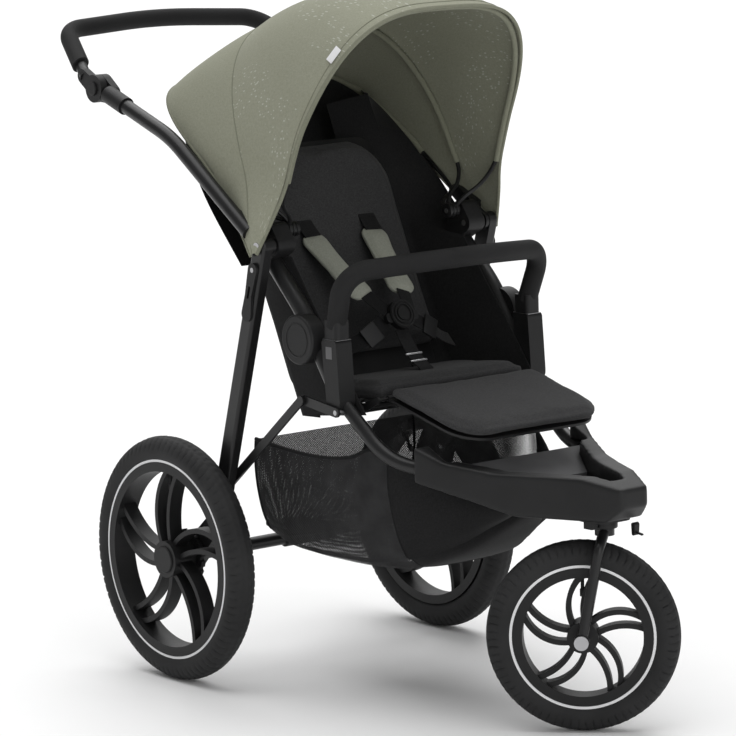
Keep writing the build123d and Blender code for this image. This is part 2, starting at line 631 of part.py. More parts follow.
def push_tube():
    """A push tube with the lug that turns on the fold pin."""
    x, low = PUSH_TUBE_X, LEG_INNER_X - 7
    route = [(x, *push_start()), (x, *PUSH_BEND), (x, *push_end())]
    angle = degrees(atan2(PUSH_BEND[1] - FOLD_PIVOT[1], PUSH_BEND[0] - FOLD_PIVOT[0]))
    lug = hull_plate([(FOLD_PIVOT, 14), (along(FOLD_PIVOT, angle, 80), 11)], low, LEG_INNER_X - SLIP)
    block = hull_plate([(along(FOLD_PIVOT, angle, 40), 11), (along(FOLD_PIVOT, angle, 76), 11)], low, x)
    tube = bent_bar(route, [260], Circle(PUSH_TUBE_RADIUS))
    bore = bent_bar(route, [260], Circle(PUSH_TUBE_RADIUS - TUBE_WALL))
    shape = lug + block + tube - (bore - hull_plate([(along(FOLD_PIVOT, angle, 58), 30)], low, x + 20))
    return shape - cylinder_x(FOLD_PIVOT, PIVOT_PIN_RADIUS + RUNNING, low - 1, x)


def adjuster_housing():
    """The fixed half of a handle joint, with the sleeve on the push tube."""
    x, low = PUSH_TUBE_X, PUSH_TUBE_X - ADJUSTER_LAYER - 1
    plate = hull_plate([(ADJUSTER_CENTRE, ADJUSTER_RADIUS), (push_end(), 15)], low, low + ADJUSTER_LAYER)
    angle = degrees(atan2(PUSH_BEND[1] - ADJUSTER_CENTRE[1], PUSH_BEND[0] - ADJUSTER_CENTRE[0]))
    near, far = push_end(), along(push_end(), angle, 52)
    sleeve = bent_bar([(x, *near), (x, *far)], [], Circle(PUSH_TUBE_RADIUS + 3))
    route = [(x, *push_start()), (x, *PUSH_BEND), (x, *push_end())]
    return plate + sleeve - bent_bar(route, [260], Circle(PUSH_TUBE_RADIUS))


def handle_disc():
    """The turning half of a handle joint, with the recess for its button."""
    low = PUSH_TUBE_X + SLIP - 0.5
    disc = cylinder_x(ADJUSTER_CENTRE, ADJUSTER_RADIUS, low, low + ADJUSTER_LAYER)
    disc += hull_plate([(along(ADJUSTER_CENTRE, HANDLE_TILT, 12), 14), (along(ADJUSTER_CENTRE, HANDLE_TILT, 38), 12)],
                       low, low + ADJUSTER_LAYER)
    recess = cylinder_x(ADJUSTER_CENTRE, BUTTON_RADIUS + SLIP, low + ADJUSTER_LAYER - 8, low + ADJUSTER_LAYER)
    return disc - recess


def adjuster_button():
    """The push button of a handle joint, standing out of its recess."""
    face = PUSH_TUBE_X + SLIP - 0.5 + ADJUSTER_LAYER
    button = cylinder_x(ADJUSTER_CENTRE, BUTTON_RADIUS, face - 3, face + BUTTON_TRAVEL)
    return fillet(button.edges().filter_by(GeomType.CIRCLE).sort_by(Axis.X)[-1], 1.5)


def handle_route():
    """The handle's line from one joint, up and across, to the other."""
    x = PUSH_TUBE_X + ADJUSTER_LAYER / 2
    inner = x - HANDLE_LEAN
    foot, corner, middle = (along(ADJUSTER_CENTRE, HANDLE_TILT, reach) for reach in
                            (HANDLE_FOOT, HANDLE_REACH - HANDLE_BOW, HANDLE_REACH + HANDLE_BOW / 2))
    return [(-x, *foot), (-inner, *corner), (0, *middle), (inner, *corner), (x, *foot)]


def handle_bar(section):
    """The handle's tube or grip along its whole line."""
    return bent_bar(handle_route(), [HANDLE_CORNER, 700, HANDLE_CORNER], section)


def handle_grip():
    """The foam grip over the handle tube, starting above the joints."""
    foam = handle_bar(Circle(GRIP_RADIUS)) - handle_bar(Circle(HANDLE_TUBE_RADIUS))
    bottom = along(ADJUSTER_CENTRE, HANDLE_TILT, GRIP_START)
    down = (0, -cos(radians(HANDLE_TILT)), -sin(radians(HANDLE_TILT)))
    cutter = Plane(origin=(0, *bottom), x_dir=(1, 0, 0), z_dir=down)
    return foam - cutter * Pos(0, 0, 100) * Box(900, 200, 200)


# ---- canopy ----
def fan_plane(angle):
    """The plane of a bow: X across, its own Y from the canopy pivot outwards."""
    out = (0, cos(radians(angle)), sin(radians(angle)))
    return Plane(origin=(0, *CANOPY_PIVOT), x_dir=(1, 0, 0), z_dir=Vector(1, 0, 0).cross(Vector(*out)))


def arch_points(half, top, rise):
    """An arch's corner points: up one side, over the crown and down the other."""
    return [(-half, 0), (-half, top - 0.8 * rise), (0, top + 0.2 * rise), (half, top - 0.8 * rise), (half, 0)]


def canopy_half():
    """The canopy's half width, clear of the push tubes outside it."""
    return LEG_INNER_X - 14


def canopy_panel(low, high):
    """A canopy panel between two angles about the canopy's pivot."""
    middle = CANOPY_SKIN / 2
    top, rise, corner, crown = FRONT_ARCH
    line = FilletPolyline(*arch_points(canopy_half() - middle, top - middle, rise), radius=[corner, crown, corner])
    band = trace(line, line_width=CANOPY_SKIN) - Rectangle(900, 2 * CANOPY_LOWER_EDGE)
    hinge = Axis((0, *CANOPY_PIVOT), (1, 0, 0))
    return revolve(fan_plane(low) * band, axis=hinge, revolution_arc=high - low)


def bow(angle, layer_x, top, rise, corner, crown):
    """A canopy bow with an eye at each end, in its own layer of the pivot."""
    plane = fan_plane(angle)
    inset = CANOPY_SKIN + BOW_RADIUS + 1
    half, shoulder = canopy_half() - inset, CANOPY_LOWER_EDGE + 60
    across = arch_points(half, top - inset, rise)[1:4]
    flat = [(-layer_x, 7), (-layer_x, 34), (-half, shoulder), *across, (half, shoulder), (layer_x, 34), (layer_x, 7)]
    bends = [26, 60, corner - inset, crown, corner - inset, 60, 26]
    line = FilletPolyline(*flat, radius=bends)
    path = plane * line
    rod = sweep(Plane(origin=path @ 0, z_dir=path % 0) * Circle(BOW_RADIUS), path=path)
    eye = cylinder_x(CANOPY_PIVOT, BOW_EYE_RADIUS, layer_x - BOW_EYE_DEPTH / 2, layer_x + BOW_EYE_DEPTH / 2)
    return rod + both(eye) - both(cylinder_x(CANOPY_PIVOT, LINK_PIN_RADIUS + RUNNING, 100, 300))


def bow_layers():
    """The bows' places along the canopy pin, from the outside in: front, middle and rear."""
    first = SIDE_TUBE_X - SIDE_TUBE_RADIUS - BRACKET_SKIN - BOW_RADIUS - BOW_SIDE_GAP
    step = 2 * BOW_RADIUS + LAYER_GAP
    return [first - step * index for index in range(3)]


def canopy_pin():
    """The pin that carries the bows' eyes."""
    low = bow_layers()[-1] - BOW_RADIUS - 1
    return cylinder_x(CANOPY_PIVOT, LINK_PIN_RADIUS, low, SIDE_TUBE_X - SIDE_TUBE_RADIUS - BRACKET_SKIN)


# ---- seat ----
def back_plane():
    """The backrest's plane: X across, its own Y up the back, Z towards the child."""
    up = Vector(0, cos(radians(BACK_ANGLE)), sin(radians(BACK_ANGLE)))
    return Plane(origin=(0, *SEAT_HINGE), x_dir=(1, 0, 0), z_dir=Vector(1, 0, 0).cross(up))


def back_slab(low, high, bottom, top, inset):
    """A rounded slab on the backrest's plane, between two heights over it."""
    shape = Pos(0, (bottom + top) / 2) * RectangleRounded(2 * (SEAT_HALF_WIDTH - inset), top - bottom, 40)
    return back_plane() * Pos(0, 0, low) * extrude(shape, amount=high - low)


def back_board():
    """The backrest's stiff board, with ears that turn on the seat rail."""
    board = back_slab(0, BACK_BOARD, 16, BACK_LENGTH, 6)
    half = SEAT_HALF_WIDTH - 60
    ears = Part()
    for x in (-half, half):
        ear = hull_plate([(SEAT_HINGE, SEAT_FRAME_RADIUS + 4), (along(SEAT_HINGE, BACK_ANGLE + 4, 40), 5)], x - 6, x + 6)
        ears += ear
    return board + ears - cylinder_x(SEAT_HINGE, SEAT_FRAME_RADIUS + RUNNING, -200, 200)


def seat_pad():
    """The seat cushion, sloping down to the back."""
    front, rear = SEAT_FRONT, (SEAT_HINGE[0] + 4 + BACK_PAD * -1.2, SEAT_HINGE[1] + 18)
    points = [(front[0], front[1] + 2), (front[0], front[1] + SEAT_PAD), (rear[0], rear[1] + SEAT_PAD), rear]
    pad = polygon_plate(points, -SEAT_HALF_WIDTH, SEAT_HALF_WIDTH)
    return fillet(pad.edges().filter_by(Axis.X).sort_by(Axis.Z)[-2:], 8)


def leg_rest_plane():
    """The leg rest's plane: X across, its own Y forwards along the pad, Z down."""
    out = Vector(0, -cos(radians(LEG_REST_SLOPE)), -sin(radians(LEG_REST_SLOPE)))
    return Plane(origin=(0, *leg_rest_hinge()), x_dir=(1, 0, 0), z_dir=Vector(1, 0, 0).cross(out))


def leg_rest_hinge():
    """The leg rest's pivot, just in front of the seat, as (y, z)."""
    return (SEAT_FRONT[0] - LEG_REST_BARREL - LAYER_GAP, SEAT_FRONT[1] + 4)


def leg_rest_slab(low, high, start, inset):
    """A slab of the leg rest with round front corners; heights count upwards."""
    half, length = LEG_REST_HALF_WIDTH - inset, LEG_REST_LENGTH - inset
    outline = Pos(0, (start + length) / 2) * Rectangle(2 * half, length - start)
    front = outline.vertices().sort_by(Axis.Y)[-2:]
    outline = fillet(front, 55)
    return leg_rest_plane() * Pos(0, 0, -high) * extrude(outline, amount=high - low)


def side_panel():
    """The mesh panel between the backrest and the side tube."""
    back_top = along(SEAT_HINGE, BACK_ANGLE, BACK_LENGTH - 25)
    points = [(SEAT_FRONT[0] + 12, SEAT_FRONT[1] + 30), (FOLD_PIVOT[0] - 40, FOLD_PIVOT[1] - 60),
              (FOLD_PIVOT[0] + 30, FOLD_PIVOT[1] - 10), back_top, along(SEAT_HINGE, BACK_ANGLE, 60)]
    return polygon_plate(points, SIDE_PANEL_X, SIDE_PANEL_X + SIDE_PANEL)


# ---- harness ----
def buckle_centre():
    """The middle of the harness buckle."""
    return (0, SEAT_HINGE[0] - 72, SEAT_FRONT[1] + 106)


def facing(centre):
    """The plane of a harness piece that faces forwards and up."""
    return Plane(origin=centre, x_dir=(1, 0, 0), z_dir=(0, -0.92, 0.39))


def buckle():
    """The round harness buckle, with the recess for its button."""
    body = extrude(Circle(24), amount=12) - Pos(0, 0, 4) * extrude(Circle(11 + SLIP), amount=8)
    wings = Pos(0, -4, 1) * extrude(RectangleRounded(64, 16, 6), amount=8)
    shape = body + (wings - extrude(Circle(23), amount=12))
    return facing(buckle_centre()) * shape


def buckle_button():
    """The round release button of the buckle."""
    return facing(buckle_centre()) * Pos(0, 0, 7) * extrude(Circle(11), amount=7)


def shoulder_pad():
    """A shoulder pad that runs from the backrest down to the buckle."""
    start, end = Vector(*SHOULDER_TOP), Vector(*SHOULDER_END)
    line = (end - start)
    plane = Plane(origin=start, x_dir=line, z_dir=line.cross(Vector(1, 0, 0)) * -1)
    slab = extrude(Pos(line.length / 2, 0) * RectangleRounded(line.length, 52, 18), amount=12)
    return plane * slab


def crotch_strap():
    """The webbing from the seat up to the buckle."""
    x, y, z = buckle_centre()
    foot, top = (y - 62, SEAT_FRONT[1] + SEAT_PAD - 3), (y - 8, z - 26)
    return hull_plate([(foot, 1.2), (top, 1.2)], -12.5, 12.5)


def waist_strap():
    """The webbing from the seat's side up to the buckle."""
    x, y, z = buckle_centre()
    line = [(34, y + 2, z - 6), (150, y + 40, SEAT_FRONT[1] + SEAT_PAD + 24)]
    start, end = (Vector(*point) for point in line)
    plane = Plane(origin=start, x_dir=end - start, z_dir=(0, -1, 0.2))
    return plane * Pos((end - start).length / 2, 0, 0) * Box((end - start).length, 24, 2)


# ---- basket ----
def basket_shape(inset, top):
    """The basket's block, inset from its outer faces by a skin."""
    low = inset
    half = BASKET_HALF_WIDTH - inset
    profile = polygon_plate([(-76 - inset, 393 + top), (-96 - inset, 216 + low), (-250, 206 + low), (-372, 206 + low),
                             (-470, 240 + low), (-545 + inset, 294 + low), (-596 + 3 * inset, 326 + low / 2),
                             (-560, 340 + low / 4), (-470, 362 + top / 4), (-392, 432 + top)], -half, half)
    plan = Polygon((-half, -60), (-half, -330), (-126 + inset, -420), (-50 + inset, -620),
                   (50 - inset, -620), (126 - inset, -420), (half, -330), (half, -60), align=None)
    return profile & extrude(plan, amount=800)


def basket():
    """The shopping basket, a thin shell that is open above."""
    mouth = Pos(0, -230, 460) * Box(2 * BASKET_HALF_WIDTH - 2 * BASKET_SKIN, 300, 200)
    inner = basket_shape(BASKET_SKIN, -BASKET_SKIN)
    return basket_shape(0, 0) - inner - mouth


def stroller():
    """Every piece by its node name, in the modelling position."""
    pieces = {**rear_wheels(), **front_wheel()}
    front_layer, middle_layer, rear_layer = bow_layers()
    rear, middle, front = CANOPY_ANGLES
    for side, sign in SIDES.items():
        pieces[f"adjuster_button_{side}"] = at_side(adjuster_button(), sign)
        pieces[f"fold_catch_{side}"] = at_side(fold_catch(), sign)
    ends = both(bumper_end())
    pieces.update({
        "swivel_housing": swivel_housing(),
        "swivel_lock_lever": swivel_lock(),
        "fold_brackets": both(fold_bracket()),
        "side_tubes": both(side_tube()),
        "front_tubes": both(front_tube(tube_section(FRONT_TUBE_RADIUS)) - seat_pin()),
        "frame_pins": Compound(both(fold_pin()).solids() + both(seat_pin()).solids() + both(canopy_pin()).solids()),
        "legs": both(leg()),
        "push_tubes": both(push_tube()),
        "joint_covers": both(joint_cover()),
        "bumper_brackets": both(bumper_bracket()),
        "seat_frame": seat_frame(),
        "nose_shell": nose_shell(),
        "foot_panel": foot_panel(),
        "axle_housings": both(axle_housing()),
        "rear_axle": rear_axle(),
        "struts": both(strut()),
        "seat_links": both(seat_link()),
        "leg_pins": Compound(both(catch_pin()).solids() + both(strut_pin()).solids()),
        "brake_pedal": brake_pedal(),
        "adjuster_housings": both(adjuster_housing()),
        "handle_tube": handle_bar(tube_section(HANDLE_TUBE_RADIUS)) - both(handle_disc()),
        "handle_discs": both(handle_disc()),
        "handle_grip": handle_grip(),
        "bumper_ends": ends,
        "bumper_grip": bumper_grip() - ends,
        "canopy_rear_bow": bow(rear, rear_layer, *REAR_ARCH),
        "canopy_middle_bow": bow(middle, middle_layer, *MIDDLE_ARCH),
        "canopy_front_bow": bow(front, front_layer, *FRONT_ARCH),
        "canopy_rear_panel": canopy_panel(rear, middle - PANEL_GAP),
        "canopy_front_panel": canopy_panel(middle, front),
        "back_board": back_board(),
        "back_pad": back_slab(BACK_BOARD + SLIP, BACK_BOARD + SLIP + BACK_PAD, 62, BACK_LENGTH, 0),
        "seat_pad": seat_pad(),
        "leg_rest_board": leg_rest_board(),
        "leg_rest_pad": leg_rest_slab(2 + SLIP, 2 + LEG_REST_PAD, LEG_REST_BARREL + 2, 0),
        "side_panels": both(side_panel()),
        "buckle": buckle(),
        "buckle_button": buckle_button(),
        "shoulder_pads": both(shoulder_pad()),
        "seat_straps": Compound(crotch_strap().solids() + both(waist_strap()).solids()),
        "basket": basket(),
    })
    return pieces


def origin_shift(pieces):
    """How far the model moves along Y so that its origin is under its middle."""
    boxes = [piece.bounding_box() for piece in pieces.values()]
    return -(min(box.min.Y for box in boxes) + max(box.max.Y for box in boxes)) / 2


def main():
    """Writes one STEP file for each piece."""
    os.makedirs("parts", exist_ok=True)
    pieces = stroller()
    shift = Pos(0, origin_shift(pieces), 0)
    for name, piece in pieces.items():
        export_step(Compound(list((shift * piece).solids())), f"parts/{name}.step")


if __name__ == "__main__":
    main()
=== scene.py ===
import json
import logging
import math
from dataclasses import dataclass
from enum import Enum
from typing import Callable, Sequence

import bpy
import numpy as np
from mathutils import Matrix, Vector


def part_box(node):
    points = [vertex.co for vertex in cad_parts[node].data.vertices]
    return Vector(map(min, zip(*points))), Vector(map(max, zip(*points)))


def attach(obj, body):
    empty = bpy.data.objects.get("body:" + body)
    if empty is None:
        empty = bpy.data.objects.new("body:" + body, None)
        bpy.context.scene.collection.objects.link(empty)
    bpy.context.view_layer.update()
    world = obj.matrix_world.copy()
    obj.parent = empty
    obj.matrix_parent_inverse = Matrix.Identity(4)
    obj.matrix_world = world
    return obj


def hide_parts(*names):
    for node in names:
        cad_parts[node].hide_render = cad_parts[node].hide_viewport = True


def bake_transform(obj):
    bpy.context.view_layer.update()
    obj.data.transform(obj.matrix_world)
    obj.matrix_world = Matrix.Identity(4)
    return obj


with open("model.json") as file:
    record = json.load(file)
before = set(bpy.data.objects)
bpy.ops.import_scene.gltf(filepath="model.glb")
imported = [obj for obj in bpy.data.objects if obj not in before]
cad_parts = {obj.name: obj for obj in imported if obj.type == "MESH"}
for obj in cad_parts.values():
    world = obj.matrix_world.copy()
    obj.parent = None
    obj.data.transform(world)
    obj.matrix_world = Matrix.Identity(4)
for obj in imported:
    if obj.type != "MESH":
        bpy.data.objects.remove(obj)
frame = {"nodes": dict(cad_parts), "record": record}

LOG = logging.getLogger("stroller")
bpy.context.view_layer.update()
AXLE_Y = sum(corner.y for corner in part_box("rear_axle")) / 2
Place = Callable[[float, float], Vector]
Piece = bpy.types.Object
Socket = bpy.types.NodeSocket
Material = bpy.types.Material
Tone = tuple[float, float, float]
SIDES = {-1: "right", 1: "left"}
FORWARD, LEFT, UP = Vector((0, 1, 0)), Vector((1, 0, 0)), Vector((0, 0, 1))
SWELL_FRAMES = 20


def at(x: float, y: float, z: float) -> Vector:
    """A point in the row frame, from millimetres across, behind the rear axle and above the floor.

    Args:
        x: distance to the left of the middle.
        y: distance behind the rear axle.
        z: height above the floor.

    Returns:
        The point in metres.
    """
    return Vector((x / 1000, y / 1000 + AXLE_Y, z / 1000))


def smooth_step(value: float) -> float:
    """A share from 0 to 1 with soft ends."""
    value = min(1.0, max(0.0, value))
    return value * value * (3 - 2 * value)


def mix(low: float, high: float, share: float) -> float:
    """The value at a share of the way from low to high.

    Args:
        low: the value at share 0.
        high: the value at share 1.
        share: how far along.

    Returns:
        The value between them.
    """
    return low + (high - low) * share


def follow(points: Sequence[tuple[float, float]], share: float) -> tuple[float, float]:
    """The pair at a share of the way along a broken line, softly rounded at its corners."""
    spot = share * (len(points) - 1)
    index = min(int(spot), len(points) - 2)
    local = spot - index
    before = points[max(index - 1, 0)]
    start, end = points[index], points[index + 1]
    after = points[min(index + 2, len(points) - 1)]
    result = []
    for a, b, c, d in zip(before, start, end, after):
        result.append(0.5 * (2 * b + (c - a) * local + (2 * a - 5 * b + 4 * c - d) * local ** 2
                             + (3 * b - a - 3 * c + d) * local ** 3))
    return result[0], result[1]


# ---- finishes ----
class Slot(Enum):
    """The record's material slots."""

    TUBE = "black_tube"
    STEEL = "steel"
    PLASTIC = "black_plastic"
    GREY = "grey_plastic"
    RUBBER = "tyre_rubber"
    RING = "ring_white"
    FOAM = "foam"
    SAGE = "sage_fabric"
    CHARCOAL = "charcoal_fabric"
    MESH = "black_mesh"
    WEBBING = "webbing"


class Tree:
    """A material's node tree, built node by node."""

    def __init__(self, name: str) -> None:
        """Makes the material with its shader and output."""
        self.material = bpy.data.materials.new(name)
        self.material.use_nodes = True
        self.nodes = self.material.node_tree.nodes
        self.links = self.material.node_tree.links
        self.shader = self.nodes["Principled BSDF"]
        self.output = self.nodes["Material Output"]

    def add(self, kind: str, settings: dict | None = None, **values: object) -> bpy.types.Node:
        """Adds a node.

        Args:
            kind: the node's type, without its prefix.
            settings: the node's own properties.
            **values: numbers or sockets for its inputs, by name with _ for a space, or by number after an i.

        Returns:
            The new node.
        """
        node = self.nodes.new("ShaderNode" + kind)
        for key, value in (settings or {}).items():
            setattr(node, key, value)
        for key, value in values.items():
            numbered = key[0] == "i" and key[1:].isdigit()
            self.give(node, int(key[1:]) if numbered else key.replace("_", " "), value)
        return node

    def give(self, node: bpy.types.Node, key: int | str, value: object) -> None:
        """Sets or links one input of a node."""
        if isinstance(value, Socket):
            self.links.new(value, node.inputs[key])
        else:
            node.inputs[key].default_value = value

    def coordinates(self, surface: bool, scale: tuple[float, float, float]) -> Socket:
        """Coordinates in metres, on the object or on the piece's own map, times a scale."""
        source = self.add("TexCoord").outputs["UV" if surface else "Object"]
        return self.add("Mapping", Vector=source, Scale=scale).outputs["Vector"]

    def noise(self, scale: float, detail: float = 2.0, vector: Socket | None = None) -> Socket:
        """A noise value at so many lumps to the metre."""
        vector = vector or self.coordinates(False, (1, 1, 1))
        return self.add("TexNoise", Vector=vector, Scale=scale, Detail=detail).outputs["Fac"]

    def blend(self, share: Socket, low: Sequence[float], high: Sequence[float]) -> Socket:
        """A colour between two, by a share."""
        ramp = self.add("ValToRGB", Fac=share)
        ramp.color_ramp.elements[0].position, ramp.color_ramp.elements[1].position = 0.3, 0.7
        ramp.color_ramp.elements[0].color = (*low, 1)
        ramp.color_ramp.elements[1].color = (*high, 1)
        return ramp.outputs["Color"]

    def spread(self, share: Socket, low: float, high: float) -> Socket:
        """A number between two, by a share."""
        return self.add("MapRange", Value=share, i3=low, i4=high).outputs[0]

    def sum(self, operation: str, first: object, second: object) -> Socket:
        """One sum of two numbers or sockets."""
        return self.add("Math", {"operation": operation}, i0=first, i1=second).outputs[0]

    def relief(self, height: Socket, depth: float) -> None:
        """Gives the shader a bump of a real depth in metres."""
        bump = self.add("Bump", Height=height, Distance=depth, Strength=1.0)
        self.links.new(bump.outputs["Normal"], self.shader.inputs["Normal"])


@dataclass(frozen=True)
class Moulding:
    """A moulded, coated or foamed finish: two near tones, a grain and a gloss."""

    slot: Slot
    low: Tone
    high: Tone
    gloss: tuple[float, float]
    grain: float
    depth: float
    metal: float = 0.0
    coat: float = 0.0

    def material(self) -> Material:
        """Builds the material."""
        tree = Tree("finish_" + self.slot.value)
        broad = tree.noise(14.0, 3.0)
        fine = tree.noise(self.grain, 3.0)
        tree.give(tree.shader, "Base Color", tree.blend(broad, self.low, self.high))
        tree.give(tree.shader, "Roughness", tree.spread(broad, *self.gloss))
        tree.give(tree.shader, "Specular IOR Level", 0.3)
        tree.give(tree.shader, "Metallic", self.metal)
        tree.give(tree.shader, "Coat Weight", self.coat)
        tree.give(tree.shader, "Coat Roughness", 0.3)
        tree.relief(fine, self.depth)
        return tree.material


@dataclass(frozen=True)
class Cloth:
    """A woven fabric: melange yarns in two directions, with a soft sheen."""

    slot: Slot
    low: Tone
    high: Tone
    yarns: float
    depth: float
    name: str = ""
    print_dots: bool = False

    def material(self) -> Material:
        """Builds the material."""
        tree = Tree("finish_" + (self.name or self.slot.value))
        long = self.yarns * 0.25
        warp = tree.noise(1.0, 2.0, tree.coordinates(False, (self.yarns, long, long)))
        weft = tree.noise(1.0, 2.0, tree.coordinates(False, (self.yarns * 0.22, self.yarns, self.yarns)))
        weave = tree.sum("MULTIPLY", tree.sum("ADD", warp, weft), 0.5)
        wear = tree.sum("MULTIPLY", tree.noise(9.0, 3.0), 0.2)
        tone = tree.sum("ADD", tree.sum("MULTIPLY", weave, 0.8), wear)
        colour = tree.blend(tone, self.low, self.high)
        if self.print_dots:
            colour = self.dotted(tree, colour)
        tree.give(tree.shader, "Base Color", colour)
        tree.give(tree.shader, "Roughness", 0.92)
        tree.give(tree.shader, "Specular IOR Level", 0.15)
        tree.give(tree.shader, "Sheen Weight", 0.06)
        tree.give(tree.shader, "Sheen Roughness", 0.5)
        tree.relief(weave, self.depth)
        return tree.material

    def dotted(self, tree: Tree, colour: Socket) -> Socket:
        """Adds a pale scatter of dots that fades out, on the piece's own map."""
        scatter = tree.coordinates(True, (150, 62, 1))
        cells = tree.add("TexVoronoi", Vector=scatter, Scale=1.0, Randomness=0.75)
        dot = tree.sum("LESS_THAN", cells.outputs["Distance"], 0.26)
        patch = tree.noise(1.0, 1.0, tree.coordinates(True, (7, 3.2, 1)))
        near = tree.sum("GREATER_THAN", patch, 0.5)
        share = tree.sum("MULTIPLY", tree.sum("MULTIPLY", dot, near), 0.55)
        pick = tree.add("MixRGB", i0=share, i1=colour, i2=(0.5, 0.51, 0.45, 1))
        return pick.outputs[0]


@dataclass(frozen=True)
class Net:
    """An open black net with diamond holes, on the piece's own map."""

    slot: Slot
    colour: Tone
    holes: float
    open_share: float
    name: str

    def material(self) -> Material:
        """Builds the material."""
        tree = Tree("finish_" + self.name)
        spot = tree.add("SeparateXYZ", Vector=tree.coordinates(True, (self.holes, self.holes, 1)))
        waves = [tree.sum("SINE", tree.sum(way, spot.outputs["X"], spot.outputs["Y"]), 0.0)
                 for way in ("ADD", "SUBTRACT")]
        product = tree.sum("ABSOLUTE", tree.sum("MULTIPLY", *waves), 0.0)
        hole = tree.sum("GREATER_THAN", product, 1 - self.open_share)
        tone = tree.noise(30.0, 2.0)
        dark = tuple(part * 0.7 for part in self.colour)
        tree.give(tree.shader, "Base Color", tree.blend(tone, dark, self.colour))
        tree.give(tree.shader, "Roughness", 0.8)
        tree.give(tree.shader, "Specular IOR Level", 0.15)
        tree.give(tree.shader, "Alpha", tree.sum("SUBTRACT", 1.0, hole))
        tree.relief(product, 0.0004)
        return tree.material


BLACK, SOFT_BLACK = (0.007, 0.007, 0.0073), (0.012, 0.012, 0.0124)
SAGE = (0.225, 0.23, 0.17), (0.315, 0.32, 0.25)
FINISHES: dict[str, Moulding | Cloth | Net] = {
    "tube": Moulding(Slot.TUBE, BLACK, SOFT_BLACK, (0.3, 0.42), 900, 0.00006, 0.0, 0.1),
    "steel": Moulding(Slot.STEEL, (0.36, 0.36, 0.37), (0.5, 0.5, 0.51), (0.25, 0.4), 700, 0.00005, 1.0),
    "plastic": Moulding(Slot.PLASTIC, BLACK, SOFT_BLACK, (0.42, 0.58), 1400, 0.00012),
    "grey": Moulding(Slot.GREY, (0.1, 0.1, 0.103), (0.14, 0.14, 0.143), (0.5, 0.65), 1400, 0.00012),
    "rubber": Moulding(Slot.RUBBER, SOFT_BLACK, (0.024, 0.024, 0.0246), (0.62, 0.8), 700, 0.0002),
    "ring": Moulding(Slot.RING, (0.74, 0.74, 0.75), (0.84, 0.84, 0.85), (0.3, 0.42), 500, 0.00005),
    "foam": Moulding(Slot.FOAM, BLACK, (0.013, 0.013, 0.0134), (0.68, 0.86), 1100, 0.0005),
    "sage": Cloth(Slot.SAGE, *SAGE, 900, 0.0003),
    "printed": Cloth(Slot.SAGE, *SAGE, 900, 0.0003, "printed_sage", True),
    # pad: a lighter copy of the sage fabric, painted light that makes the shoulder pads under the hood look
    # lit
    "pad": Cloth(Slot.SAGE, (0.25, 0.26, 0.215), (0.36, 0.37, 0.32), 900, 0.0003, "painted_light_pad_sage"),
    "piping": Cloth(Slot.SAGE, (0.17, 0.175, 0.13), (0.22, 0.225, 0.17), 700, 0.0003, "piping_sage"),
    "charcoal": Cloth(Slot.CHARCOAL, (0.02, 0.02, 0.0205), (0.055, 0.055, 0.056), 1000, 0.0005),
    "black": Cloth(Slot.MESH, (0.006, 0.006, 0.0063), (0.019, 0.019, 0.0195), 900, 0.0003, "black_cloth"),
    "webbing": Cloth(Slot.WEBBING, (0.005, 0.005, 0.0053), (0.015, 0.015, 0.0155), 700, 0.0005),
    "net": Net(Slot.MESH, (0.05, 0.05, 0.051), 900, 0.5, "open_net"),
}


class Wardrobe:
    """The finished materials, each made once."""

    def __init__(self) -> None:
        """Builds every finish."""
        self.made = {name: finish.material() for name, finish in FINISHES.items()}

    def dress(self, piece: Piece, name: str) -> Piece:
        """Gives a new piece one finish."""
        piece.data.materials.clear()
        piece.data.materials.append(self.made[name])
        return piece

    def dress_nodes(self) -> None:
        """Gives every CAD node the finish of its slot."""
        by_slot = {finish.slot.value: name for name, finish in reversed(FINISHES.items())}
        for part in frame["record"]["subparts"]:
            node = frame["nodes"][part["node"]]
            material = self.made[by_slot[part["material_slot"]]]
            if not node.material_slots:
                node.data.materials.append(material)
            for place in node.material_slots:
                place.material = material


WARDROBE = Wardrobe()


# ---- making meshes ----
def clear_selection() -> None:
    """Deselects everything."""
    bpy.ops.object.select_all(action="DESELECT")


def activate(piece: Piece) -> None:
    """Makes a piece the only selected and active one."""
    clear_selection()
    piece.select_set(True)
    bpy.context.view_layer.objects.active = piece


def tidy(piece: Piece, merge: float = 0.00002) -> None:
    """Merges a closed piece's doubles and turns its faces outwards."""
    activate(piece)
    bpy.ops.object.mode_set(mode="EDIT")
    bpy.ops.mesh.select_all(action="SELECT")
    bpy.ops.mesh.remove_doubles(threshold=merge)
    bpy.ops.mesh.normals_make_consistent(inside=False)
    bpy.ops.object.mode_set(mode="OBJECT")


def use(piece: Piece, kind: str, **settings: object) -> None:
    """Adds a modifier with its settings and applies it.

    Args:
        piece: the piece it changes.
        kind: the modifier's type.
        **settings: the modifier's own properties.
    """
    activate(piece)
    modifier = piece.modifiers.new(kind.lower(), kind)
    for key, value in settings.items():
        setattr(modifier, key, value)
    bpy.ops.object.modifier_apply(modifier=modifier.name)


def smooth(piece: Piece, angle: float = 40.0) -> None:
    """Shades a piece smooth, but for edges sharper than the angle."""
    activate(piece)
    bpy.ops.object.shade_smooth_by_angle(angle=math.radians(angle))


def settle(piece: Piece, matrix: Matrix) -> None:
    """Moves a finished piece's mesh into place, with the object at the origin."""
    activate(piece)
    bpy.ops.object.transform_apply(location=True, rotation=True, scale=True)
    piece.data.transform(matrix)


